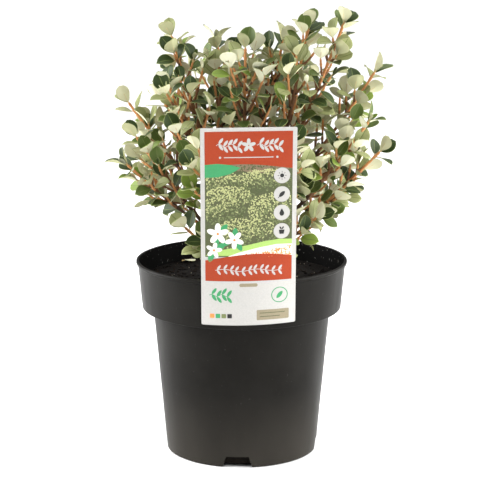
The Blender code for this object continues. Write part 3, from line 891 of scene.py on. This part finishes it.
leafPaint = {
    # plain colours, dealt out by spray
    "middle": (8.0, 5.0, 245.0),
    "spread": 100.0,
    # sprays nearer the middle than this get darker tops and undersides: older leaves and painted shade
    "inside": 0.62,
    "tops": {
        "deep": (0.024, 0.042, 0.008),
        "mid": (0.064, 0.096, 0.018),
        "grey": (0.235, 0.255, 0.108),
        "fresh": (0.145, 0.210, 0.034),
    },
    "undersides": {
        "cream": (0.700, 0.690, 0.510),
        "sage": (0.580, 0.570, 0.380),
        "moss": (0.410, 0.410, 0.235),
    },
    "rim": (0.260, 0.290, 0.110),
    "midrib": (0.110, 0.140, 0.042),
    "rib": (0.560, 0.440, 0.230),
    "stalk": (0.460, 0.330, 0.150),
}

# columns of the blade from edge to edge: a narrow rim, the blade and a narrow midrib
leafColumns = (-1.0, -0.94, -0.52, -0.045, 0.045, 0.52, 0.94, 1.0)
leafRows = 10


def leafMaterials():
    made = []
    for name, colour in leafPaint["tops"].items():
        top, nodes, links, shader = newMaterial("leafTop" + name.capitalize(), colour, 0.5, 0.2)
        bumpNode(nodes, links, shader, noiseNode(nodes, links, 900.0, 3.0, 0.6), 0.3, 0.0002)
        made.append(top)
    for name, colour in leafPaint["undersides"].items():
        under, nodes, links, shader = newMaterial("leafUnder" + name.capitalize(), colour, 0.9, 0.12)
        bumpNode(nodes, links, shader, noiseNode(nodes, links, 2400.0, 2.0, 0.6), 0.35, 0.0001)
        made.append(under)
    for name in ("rim", "midrib", "rib", "stalk"):
        made.append(newMaterial("leaf" + name.capitalize(), leafPaint[name], 0.75, 0.2)[0])
    return made


def leafShape(record, chance, topShade, underShade):
    # one leaf: a cupped blade with a midrib, two faces, a thin rim and a short stalk
    root, axis, upper, length, width, _ = record
    length, width = length * leaf["drawn"], width * leaf["drawn"]
    side = upper.cross(axis).normalized()
    face = axis.cross(side).normalized()
    tops, unders = len(leafPaint["tops"]), len(leafPaint["undersides"])
    rim, midrib, rib, stalkSlot = (tops + unders + step for step in range(4))
    cup = chance.uniform(0.05, 0.26)
    bend = chance.uniform(-0.25, 0.75)
    widest = chance.uniform(0.86, 1.16)
    blunt = chance.uniform(0.50, 0.66)
    curl = chance.uniform(0.02, 0.07)
    wave = chance.uniform(-0.04, 0.04) * width
    lean = chance.uniform(-0.05, 0.05)
    stalk = leaf["stalk"] * chance.uniform(0.8, 1.25)
    start = root + axis * stalk
    top = []
    bottom = []
    for step in range(leafRows + 1):
        share = step / leafRows
        half = 0.5 * width * max(math.sin(math.pi * share ** (1.2 * widest)), 0.0) ** blunt
        half = max(half, 0.35 * (1 - share) + 0.02)
        run = length * share
        drop = 0.0
        if abs(bend) > 1e-3:
            run = length * math.sin(bend * share) / bend
            drop = -length * (1 - math.cos(bend * share)) / bend
        for place in leafColumns:
            lift = cup * half * place ** 2 * 2.0 - curl * width * place ** 6 + wave * math.sin(6 * share) * place
            ridge = 0.34 * (1 - 0.8 * share) if abs(place) < 0.1 else 0
            thick = leaf["thickness"] * (0.5 - 0.28 * place ** 2)
            spread = half * place * (1 + lean * place)
            centre = start + axis * run + face * (drop + lift) + side * spread
            top.append(centre + face * (thick - ridge * 0.4))
            bottom.append(centre - face * (thick + ridge))
    row = len(leafColumns)
    layer = len(top)
    faces, slots = [], []
    for step in range(leafRows):
        for column in range(row - 1):
            corner = step * row + column
            faces.append([corner, corner + 1, corner + row + 1, corner + row])
            slots.append(rim if column in (0, row - 2) else midrib if column == row // 2 - 1 else topShade)
    for step in range(leafRows):
        for column in range(row - 1):
            corner = layer + step * row + column
            faces.append([corner, corner + row, corner + row + 1, corner + 1])
            slots.append(rib if column == row // 2 - 1 and step < leafRows * 0.45 else tops + underShade)
    edge = list(range(row))
    edge += [step * row + row - 1 for step in range(1, leafRows + 1)]
    edge += [leafRows * row + column for column in range(row - 2, -1, -1)]
    edge += [step * row for step in range(leafRows - 1, 0, -1)]
    for first, second in zip(edge, edge[1:] + edge[:1]):
        faces.append([second, first, first + layer, second + layer])
        slots.append(rim)
    path = [root - axis * 0.3, root + axis * stalk * 0.5, start + axis * length * 0.07]
    tube = tubeShape(path, [0.62, 0.48, 0.36], 5)
    offset = len(top) + len(bottom)
    faces += [[offset + corner for corner in face] for face in tube[1]]
    slots += [stalkSlot] * len(tube[1])
    return top + bottom + tube[0], faces, slots


def makeLeaves():
    materials = leafMaterials()
    total = 0
    for name, spray in sprays.items():
        chance = random.Random("leaves " + name)
        shades = {}
        cluster = MeshSum()
        for record in spray.leaves:
            shoot = record[5]
            if shoot not in shades:
                # darker leaves inside the crown, older ones and painted shade there; young felted ones at its outside
                middle = Vector(leafPaint["middle"])
                inside = ((record[0] - middle) / leafPaint["spread"]).length + chance.uniform(-0.12, 0.12)
                if inside < leafPaint["inside"]:
                    shades[shoot] = (chance.choice((0, 0, 0, 1)), chance.choice((1, 2, 2)))
                else:
                    shades[shoot] = (chance.choice((0, 1, 2, 2, 3)), chance.choice((0, 0, 1, 1, 2)))
            topShade, underShade = shades[shoot]
            if chance.random() < 0.25:
                topShade = chance.choice((0, 1))
            if chance.random() < 0.25:
                underShade = chance.choice((1, 2))
            cluster.add(*leafShape(record, chance, topShade, underShade))
        total += sum(len(face) - 2 for face in cluster.faces)
        settle(cluster.make("leaves_" + name, materials, 60), "foliage", "foliage_" + name)
    print("leaves made:", total, "triangles")


makeLeaves()


# twigs, boughs and trunk

barkPaint = {
    "young": (0.480, 0.215, 0.082),
    "felt": (0.185, 0.088, 0.042),
    "old": (0.066, 0.040, 0.025),
}


def makeFallenLeaves():
    # a pale leaf and two more have dropped on the potting mix
    chance = random.Random(4)
    fallen = MeshSum()
    for x, y, turn, length in ((-51, 58, 0.5, 11.0), (34, 66, 2.2, 9.0), (-12, -60, 1.1, 10.0)):
        root = Vector((x, y, mix["top"] + 0.3))
        axis = Vector((math.cos(turn), math.sin(turn), 0.03)).normalized()
        record = (root, axis, -up, length, length * 0.7, "fallen")
        fallen.add(*leafShape(record, chance, 2, 0))
    settle(fallen.make("fallenLeaves", leafMaterials(), 60), "foliage")


def twigMaterials():
    return [newMaterial("twig" + name.capitalize(), colour, 0.85, 0.2)[0] for name, colour in barkPaint.items()]


def barkMaterial():
    bark, nodes, links, shader = newMaterial("youngBark", barkPaint["felt"], 0.88, 0.2)
    streak = noiseNode(nodes, links, 420.0, 6.0, 0.65, (1, 1, 0.25))
    tint = rampNode(nodes, links, streak, [
        (0.25, (0.075, 0.036, 0.018)), (0.5, (0.21, 0.088, 0.036)), (0.78, (0.36, 0.165, 0.066))])
    links.new(tint, shader.inputs["Base Color"])
    bumpNode(nodes, links, shader, streak, 0.6, 0.0006)
    return bark


def twigRelief(centre, angle, radius):
    spot = centre * 0.35 + Vector((math.cos(angle), math.sin(angle), 0)) * 0.9
    return radius * 0.10 * noise.noise(spot)


def barkRelief(centre, angle, radius):
    spot = Vector((math.cos(angle) * 2.1, math.sin(angle) * 2.1, 0)) + centre * 0.12
    fine = Vector((math.cos(angle) * 4.3, math.sin(angle) * 4.3, 0)) + centre * 0.42
    return radius * (0.10 * noise.noise(spot) + 0.07 * noise.noise(fine))


def denser(path, step):
    count = max(2, int(pathLength(path) / step))
    return [pathPoint(path, index / count) for index in range(count + 1)]


def makeTwigs():
    materials = twigMaterials()
    for name, spray in sprays.items():
        bunch = MeshSum()
        for path, thick, thin, level, gaps in spray.twigs:
            fine = denser(path, 1.6)
            leads = level == "leader"
            knots = [place for _, place, _, _ in shootNodes(path, gaps)]
            radii = []
            for index, point in enumerate(fine):
                share = index / (len(fine) - 1)
                radius = thick + (thin - thick) * share
                near = min([(point - knot).length for knot in knots], default=9.0)
                radii.append(radius * (1 + 0.38 * max(0.0, 1 - near / 2.6)))
            radii[-1] *= 0.6
            sides = 9 if leads else 7
            points, faces = tubeShape(fine, radii, sides, twigRelief)
            ringFaces = len(fine) - 1
            slots = [2 if leads else 0]
            for ring in range(ringFaces):
                share = ring / ringFaces
                if leads:
                    shade = 2 if share < 0.25 else 1 if share < 0.62 else 0
                else:
                    shade = 2 if share < 0.15 else 1 if share < 0.55 else 0
                slots += [shade] * sides
            slots.append(0)
            bunch.add(points, faces, slots)
        piece = bunch.make("twigs_" + name, materials, 70)
        settle(piece, "bark")


def makeBoughs():
    bark = barkMaterial()
    for name, path in paths.items():
        bare = shrub["limbs"][name][4]
        parent = shrub["limbs"][name][0]
        path = [pathPoint(path, bare * step / 24) for step in range(25)]
        fine = denser(path, 0.9)
        radii = []
        for index in range(len(fine)):
            share = index / (len(fine) - 1)
            flare = 1 + 0.35 * max(0.0, 1 - share * 6)
            radii.append(limbRadius(name, bare * share) * flare)
        points, faces = tubeShape(fine, radii, 16, barkRelief)
        piece = makePiece("stem_" + name, points, faces, [bark], None, 70)
        settle(piece, "bark", "bough_" + name)
    foot = mix["top"] - 1.5
    levels = [(foot, 8.2), (foot + 1.5, 7.3), (foot + 3.5, 6.3), (foot + 6, 5.6), (foot + 10, 5.2), (168, 4.6), (170, 4.1),
              (171.5, 3.0), (172.3, 1.4)]
    path = [trunkAxis(height) for height, _ in levels]
    fine = denser(path, 0.8)
    heights = np.array([height for height, _ in levels])
    widths = np.array([width for _, width in levels])
    radii = [float(np.interp(point.z, heights, widths)) for point in fine]
    points, faces = tubeShape(fine, radii, 40, barkRelief)
    settle(makePiece("stem_foot", points, faces, [bark], None, 70), "bark", "trunk")


makeFallenLeaves()
makeTwigs()
makeBoughs()
print("stems made")


# care card

def cardBow(x, height):
    share = (height - card["bottom"]) / (card["top"] - card["bottom"])
    return card["bow"] * (1 - share) * (2 * x / card["width"]) ** 2


def cardPoint(across, rise, lift):
    # across from the card's middle and rise from its foot, lifted off its front
    height = card["bottom"] + rise
    x = card["centre"] + across
    y = -cardBack(height) - card["thickness"] - lift + cardBow(x, height)
    return (x, y, height + across * math.sin(card["roll"]))


def printPatch(name, outline, lift, material, thick=0.1, columns=2.5):
    # a thin cut or printed shape that follows the card: its outline is in (across, rise)
    body = bmesh.new()
    body.faces.new([body.verts.new((x, y, 0)) for x, y in outline])
    for axis, step in ((0, columns), (1, 10.0)):
        low = min(point[axis] for point in outline)
        high = max(point[axis] for point in outline)
        normal = Vector((1, 0, 0)) if axis == 0 else Vector((0, 1, 0))
        for index in range(math.ceil(low / step), math.ceil(high / step)):
            everything = list(body.verts) + list(body.edges) + list(body.faces)
            bmesh.ops.bisect_plane(body, geom=everything, dist=1e-5, plane_co=normal * index * step, plane_no=normal)
    grown = bmesh.ops.extrude_face_region(body, geom=list(body.faces))
    for item in grown["geom"]:
        if isinstance(item, bmesh.types.BMVert):
            item.co.z = -thick
    for vertex in body.verts:
        vertex.co = Vector(cardPoint(vertex.co.x, vertex.co.y, lift + vertex.co.z)) * mm
    bmesh.ops.recalc_face_normals(body, faces=body.faces)
    mesh = bpy.data.meshes.new(name)
    body.to_mesh(mesh)
    body.free()
    mesh.materials.append(material)
    piece = bpy.data.objects.new(name, mesh)
    bpy.context.scene.collection.objects.link(piece)
    return settle(piece, "card")


def printShapes(name, shapes, lift, materials, slots=None):
    # many small printed shapes in one piece
    sheet = MeshSum()
    for number, outline in enumerate(shapes):
        count = len(outline)
        points = [cardPoint(x, y, lift) for x, y in outline]
        points += [cardPoint(x, y, lift - 0.1) for x, y in outline]
        faces = [list(range(count)), list(range(count, 2 * count))[::-1]]
        faces += [[(side + 1) % count, side, count + side, count + (side + 1) % count] for side in range(count)]
        sheet.add(points, faces, slots[number] if slots else 0)
    return settle(sheet.make(name, materials), "card")


def roundedBox(left, low, right, high, radius, steps=6):
    outline = []
    for x, y, start in ((right - radius, high - radius, 0), (left + radius, high - radius, 90),
                        (left + radius, low + radius, 180), (right - radius, low + radius, 270)):
        for step in range(steps + 1):
            angle = math.radians(start + 90 * step / steps)
            outline.append((x + radius * math.cos(angle), y + radius * math.sin(angle)))
    return outline


def oval(x, y, long, wide, turn=0.0, corners=12, tip=1.0):
    # tip above 1 draws the ends out to a point
    outline = []
    for corner in range(corners):
        angle = 2 * math.pi * corner / corners
        along = long * math.cos(angle)
        beside = wide * math.copysign(abs(math.sin(angle)) ** tip, math.sin(angle))
        outline.append((x + along * math.cos(turn) - beside * math.sin(turn),
                        y + along * math.sin(turn) + beside * math.cos(turn)))
    return outline


def band(line, width):
    # a stripe of even width along a line of points
    left, right = [], []
    line = [(point.x, point.y) for point in densify([Vector(point) for point in line], 2.2)]
    for index, (x, y) in enumerate(line):
        before = line[max(index - 1, 0)]
        after = line[min(index + 1, len(line) - 1)]
        dx, dy = after[0] - before[0], after[1] - before[1]
        size = math.hypot(dx, dy)
        left.append((x - dy / size * width / 2, y + dx / size * width / 2))
        right.append((x + dy / size * width / 2, y - dx / size * width / 2))
    return [strip for strip in zip(right, right[1:], left[1:], left)]


def ring(x, y, radius, width, corners=28):
    line = [(x + radius * math.cos(2 * math.pi * step / corners), y + radius * math.sin(2 * math.pi * step / corners))
            for step in range(corners + 1)]
    return band(line, width)


def flower(x, y, reach, turn, petals=5):
    shapes = []
    for petal in range(petals):
        angle = turn + 2 * math.pi * petal / petals
        shapes.append(oval(x + 0.55 * reach * math.cos(angle), y + 0.55 * reach * math.sin(angle),
                           0.48 * reach, 0.27 * reach, angle, 12, 0.9))
    return shapes


def sprig(left, right, rise, leaves, size, sway=1.2):
    # a wavy stem with pairs of leaves
    line = []
    for step in range(41):
        share = step / 40
        line.append((left + (right - left) * share, rise + sway * math.sin(4 * math.pi * share)))
    shapes = band(line, 0.5)
    for number in range(leaves):
        x, y = line[int(40 * (number + 0.5) / leaves)]
        for side in (1, -1):
            turn = side * 0.95
            shapes.append(oval(x + size * 0.55 * math.cos(turn), y + size * 0.55 * math.sin(turn),
                               size * 0.5, size * 0.2, turn, 12, 1.3))
    return shapes


def printInk(name, colour, roughness=0.36, speckle=0.05):
    material, nodes, links, shader = newMaterial(name, colour, roughness, 0.2)
    dots = noiseNode(nodes, links, 900.0, 3.0, 0.6)
    dark = tuple(channel * (1 - speckle) for channel in colour)
    light = tuple(min(1.0, channel * (1 + speckle)) for channel in colour)
    links.new(rampNode(nodes, links, dots, [(0.35, dark), (0.65, light)]), shader.inputs["Base Color"])
    return material


cardInks = {
    "white": (0.44, 0.43, 0.41),
    "red": (0.300, 0.036, 0.0080),
    "leafGreen": (0.045, 0.270, 0.105),
    "lightGreen": (0.330, 0.500, 0.130),
    "dusk": (0.080, 0.090, 0.042),
    "earth": (0.180, 0.135, 0.085),
    "hedgeLight": (0.430, 0.450, 0.205),
    "hedgeMid": (0.160, 0.190, 0.078),
    "hedgeDeep": (0.072, 0.090, 0.034),
    "petal": (0.740, 0.735, 0.660),
    "ochre": (0.740, 0.250, 0.070),
    "beige": (0.250, 0.215, 0.140),
    "grey": (0.420, 0.420, 0.410),
    "black": (0.020, 0.020, 0.020),
}

cardPlan = {
    "inner": 33.9,              # half the printed width
    "header": (129.5, 158.0),
    "picture": (57.0, 134.0),
    "band": (37.0, 60.0),
    "dabs": 3600,
    "seed": 3,
}


def hedgeDabs():
    # a bed of clipped round bushes, drawn with small leaf dabs
    chance = random.Random(cardPlan["seed"])
    bushes = [(-22, 118, 17, 9), (14, 119, 24, 9), (-15, 98, 24, 17), (20, 92, 21, 17), (-2, 74, 27, 15)]
    shapes, slots = [], []
    inner = cardPlan["inner"] - 1.0
    low, high = cardPlan["picture"]
    for _ in range(cardPlan["dabs"]):
        x, y = chance.uniform(-inner, inner), chance.uniform(low + 1, high - 1)
        tone = chance.uniform(-0.2, 0.22)
        for cx, cy, rx, ry in bushes[::-1]:
            dx, dy = (x - cx) / rx, (y - cy) / ry
            if dx * dx + dy * dy < 1:
                tone = 0.5 + 0.42 * dy - 0.18 * dx + chance.uniform(-0.28, 0.28)
                break
        if tone < 0.02:
            continue
        slots.append(0 if tone > 0.60 else 1 if tone > 0.30 else 2)
        size = chance.uniform(0.62, 0.95)
        shapes.append(oval(x, y, size, size * 0.58, chance.uniform(0, math.pi), 7, 1.1))
    return shapes, slots


def makeCard():
    height = card["top"] - card["bottom"]
    half = card["width"] / 2
    inks = {name: printInk("ink" + name[0].upper() + name[1:], colour) for name, colour in cardInks.items()}
    plain = {name: newMaterial("dab" + name[0].upper() + name[1:], cardInks[name], 0.5, 0.2)[0]
             for name in ("hedgeLight", "hedgeMid", "hedgeDeep", "petal", "ochre", "black", "white", "leafGreen")}
    sheet = printPatch("careCard", roundedBox(-half, 0, half, height, 1.2, 4), 0.0, inks["white"], card["thickness"])
    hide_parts("care_card")
    inner = cardPlan["inner"]
    low, high = cardPlan["picture"]
    printPatch("pictureGround", [(-inner, low), (inner, low), (inner, high), (-inner, high)], 0.05, inks["dusk"])
    path = [(-inner, 124), (-12, 127), (10, 125), (inner, 128), (inner, 133), (-inner, 133)]
    printPatch("picturePath", path, 0.08, inks["earth"])
    shapes, slots = hedgeDabs()
    printShapes("pictureBushes", shapes, 0.11, [plain["hedgeLight"], plain["hedgeMid"], plain["hedgeDeep"]], slots)
    # header with a wavy foot, and a leaf-shaped swoosh at its left
    low, high = cardPlan["header"]
    wave = [(inner - 2 * inner * step / 30, low + 2.6 * math.sin(3.6 * step / 30 - 0.5)) for step in range(31)]
    printPatch("header", [(-inner, high), *wave[::-1], (inner, high)][::-1], 0.14, inks["red"])
    swoosh = [(-inner, 121.5), (-24, 121.8), (-14, 124.5), (-6, 129.2), (-14, 131.6), (-24, 132.6), (-inner, 131.8)]
    printPatch("swoosh", swoosh, 0.17, inks["leafGreen"])
    # lower waves and the band
    bank = [(-inner, 58), (-20, 63), (-4, 66), (12, 69.5), (24, 71), (inner, 70.5), (inner, 58)]
    printPatch("greenBank", bank, 0.14, inks["lightGreen"])
    cream = [(inner, 66.5), (22, 66.8), (8, 64.5), (-8, 60.5), (-16, 57.5), (inner, 54)]
    printPatch("creamBank", cream[::-1], 0.17, inks["petal"])
    low, high = cardPlan["band"]
    crest = [(inner - 2 * inner * step / 24, high - 4.5 + 4.0 * math.sin(math.pi * (step / 24 + 0.12))) for step in range(25)]
    printPatch("redBand", [(-inner, low), (inner, low), *crest], 0.20, inks["red"])
    chance = random.Random(9)
    dots = []
    while len(dots) < 130:
        x, y = chance.uniform(-4, inner - 1), chance.uniform(57, 65.5)
        if y < 59.5 + 0.19 * x:
            dots.append(oval(x, y, chance.uniform(0.4, 1.0), chance.uniform(0.35, 0.6), chance.uniform(0, 3), 8))
    printShapes("ochreDots", dots, 0.19, [plain["ochre"]])
    # flowers at the lower left of the picture
    petals, hearts, greens = [], [], []
    for x, y, reach, turn in ((-24, 76, 8.6, 0.3), (-11, 71, 7.4, 0.9), (-27, 62.5, 6.4, 0.1)):
        petals += flower(x, y, reach, turn)
        hearts.append(oval(x, y, 1.0, 1.0, 0, 10))
        for leafTurn in (turn + 0.6, turn + 2.7, turn + 4.3):
            greens.append(oval(x + 7 * math.cos(leafTurn), y + 5 * math.sin(leafTurn), 5.0, 2.3, leafTurn, 14, 1.2))
    inside = [shape for shape in greens if min(x for x, _ in shape) > -inner]
    printShapes("pictureLeaves", inside, 0.21, [plain["leafGreen"]])
    printShapes("pictureFlowers", petals, 0.24, [plain["petal"]])
    printShapes("flowerHearts", hearts, 0.27, [plain["ochre"]])
    # ornaments in white
    white = sprig(-25, -6.5, 147.0, 5, 5.6) + sprig(6.5, 25, 147.0, 5, 5.6) + flower(0, 147.0, 5.4, math.pi / 2)
    white += band([(-19, 137.5), (19, 137.5)], 0.7) + [oval(x, 137.5, 0.9, 0.9) for x in (-22, 22)]
    white += sprig(-26, 26, 46.0, 11, 4.6, 0.9)
    printShapes("whiteOrnament", white, 0.24, [plain["white"]])
    makeTokens(plain)
    makeCardFoot(plain, inks)


def makeTokens(plain):
    # four round tokens with a sun, a leaf, a drop and a pot
    discs, marks = [], []
    x = 25.8
    for y in (122.5, 107.5, 92.5, 77.5):
        discs.append(oval(x, y, 6.3, 6.3, 0, 30))
    printShapes("tokenDiscs", discs, 0.24, [plain["white"]])
    marks.append(oval(x, 122.5, 1.6, 1.6, 0, 14))
    for ray in range(8):
        turn = math.pi * ray / 4
        marks.append(oval(x + 2.9 * math.cos(turn), 122.5 + 2.9 * math.sin(turn), 0.75, 0.25, turn, 6))
    marks.append(oval(x, 107.5, 3.1, 1.5, 0.8, 14, 1.3))
    marks += band([(x - 3.0, 104.4), (x - 1.6, 105.9)], 0.5)
    marks.append([(x, 96.0), (x - 1.3, 93.6), (x - 1.9, 91.9), (x - 1.3, 90.3), (x, 89.7), (x + 1.3, 90.3),
                  (x + 1.9, 91.9), (x + 1.3, 93.6)])
    marks.append([(x - 1.6, 75.0), (x + 1.6, 75.0), (x + 2.2, 78.4), (x - 2.2, 78.4)])
    marks.append(oval(x - 0.9, 80.0, 1.3, 0.6, 2.1, 10, 1.2))
    marks.append(oval(x + 0.9, 80.0, 1.3, 0.6, 1.0, 10, 1.2))
    printShapes("tokenMarks", marks, 0.27, [plain["black"]])


def makeCardFoot(plain, inks):
    # the die-cut tongue's slot and outline, the cut drawn in grey as painted shade, and plain print around it
    printPatch("slot", roundedBox(-7.2, 32.2, 7.2, 35.0, 1.3, 4), 0.05, inks["beige"])
    side = [(7.4, 31.4), (10.5, 29.6), (12.8, 27.4), (12.4, 25.6), (9.6, 22.4), (6.2, 18.4), (3.2, 16.4), (0, 15.8)]
    cuts = band(side, 0.32) + band([(-x, y) for x, y in side], 0.32)
    cuts += band([(-4.4, 26.6), (4.4, 26.6)], 0.5)
    # grey lines where the card is cut: painted shade in the slits
    printShapes("dieCut", cuts, 0.04, [inks["grey"]])
    printPatch("beigeBlock", roundedBox(6.5, 4.0, 32.0, 12.6, 0.8, 3), 0.05, inks["beige"])
    lines = band([(9.0, 9.9), (29.0, 9.9)], 0.55) + band([(9.0, 6.9), (25.0, 6.9)], 0.55)
    printShapes("blockLines", lines, 0.09, [inks["dusk"]])
    greens = ring(24.5, 24.5, 6.2, 0.7) + [oval(24.5, 24.5, 3.6, 1.6, 0.9, 16, 1.3)]
    greens += sprig(-31, -15, 25.0, 4, 6.2, 0.8)
    printShapes("greenMarks", greens, 0.05, [plain["leafGreen"]])
    swatches = [roundedBox(x, 6.0, x + 3.6, 9.6, 0.4, 2) for x in (-30.5, -25.9, -21.3, -16.7)]
    inksUsed = [plain["ochre"], plain["leafGreen"], plain["hedgeMid"], plain["black"]]
    printShapes("swatches", swatches, 0.05, inksUsed, [0, 1, 2, 3])


def makeTongue():
    # the folded tongue goes from the card's back over the lip and down inside the wall
    far = card["centre"] + tongue["width"] / 2
    top = pot["height"] + card["lipGap"]
    low = top - tongue["drop"]
    front = cardBack(top) - cardBow(far, top) - card["lipGap"]
    lip = math.sqrt((collarInnerRadius(pot["collarTop"]) - 0.6) ** 2 - far ** 2)
    wall = math.sqrt((collarInnerRadius(low) - 0.6) ** 2 - far ** 2)
    half = tongue["thickness"] / 2
    line = [Vector((front, top + half)), Vector((lip - half, top + half)), Vector((wall - half, low))]
    rounded = roundedOutline([(line[0].x, line[0].y, 0), (line[1].x, line[1].y, 1.6), (line[2].x, line[2].y, 0)])
    line = densify(rounded, 2.0)
    points, faces = [], []
    for index, place in enumerate(line):
        before, after = line[max(index - 1, 0)], line[min(index + 1, len(line) - 1)]
        along = (after - before).normalized()
        beside = Vector((along.y, -along.x)) * half
        taper = max(0.0, index / (len(line) - 1) - 0.8) * 14
        reach = tongue["width"] / 2 - taper
        for x, side in ((-reach, 1), (reach, 1), (reach, -1), (-reach, -1)):
            spot = place + beside * side
            points.append((card["centre"] + x, -spot.x, spot.y))
    for index in range(len(line) - 1):
        for side in range(4):
            after = (side + 1) % 4
            faces.append([4 * index + side, 4 * index + after, 4 * index + 4 + after, 4 * index + 4 + side])
    last = 4 * (len(line) - 1)
    faces += [[3, 2, 1, 0], [last, last + 1, last + 2, last + 3]]
    white = printInk("tongueWhite", cardInks["white"], 0.4, 0.02)
    settle(makePiece("cardTongue", points, faces, [white], None, 40), "card", "card_tongue")


makeCard()
makeTongue()
print("card made")
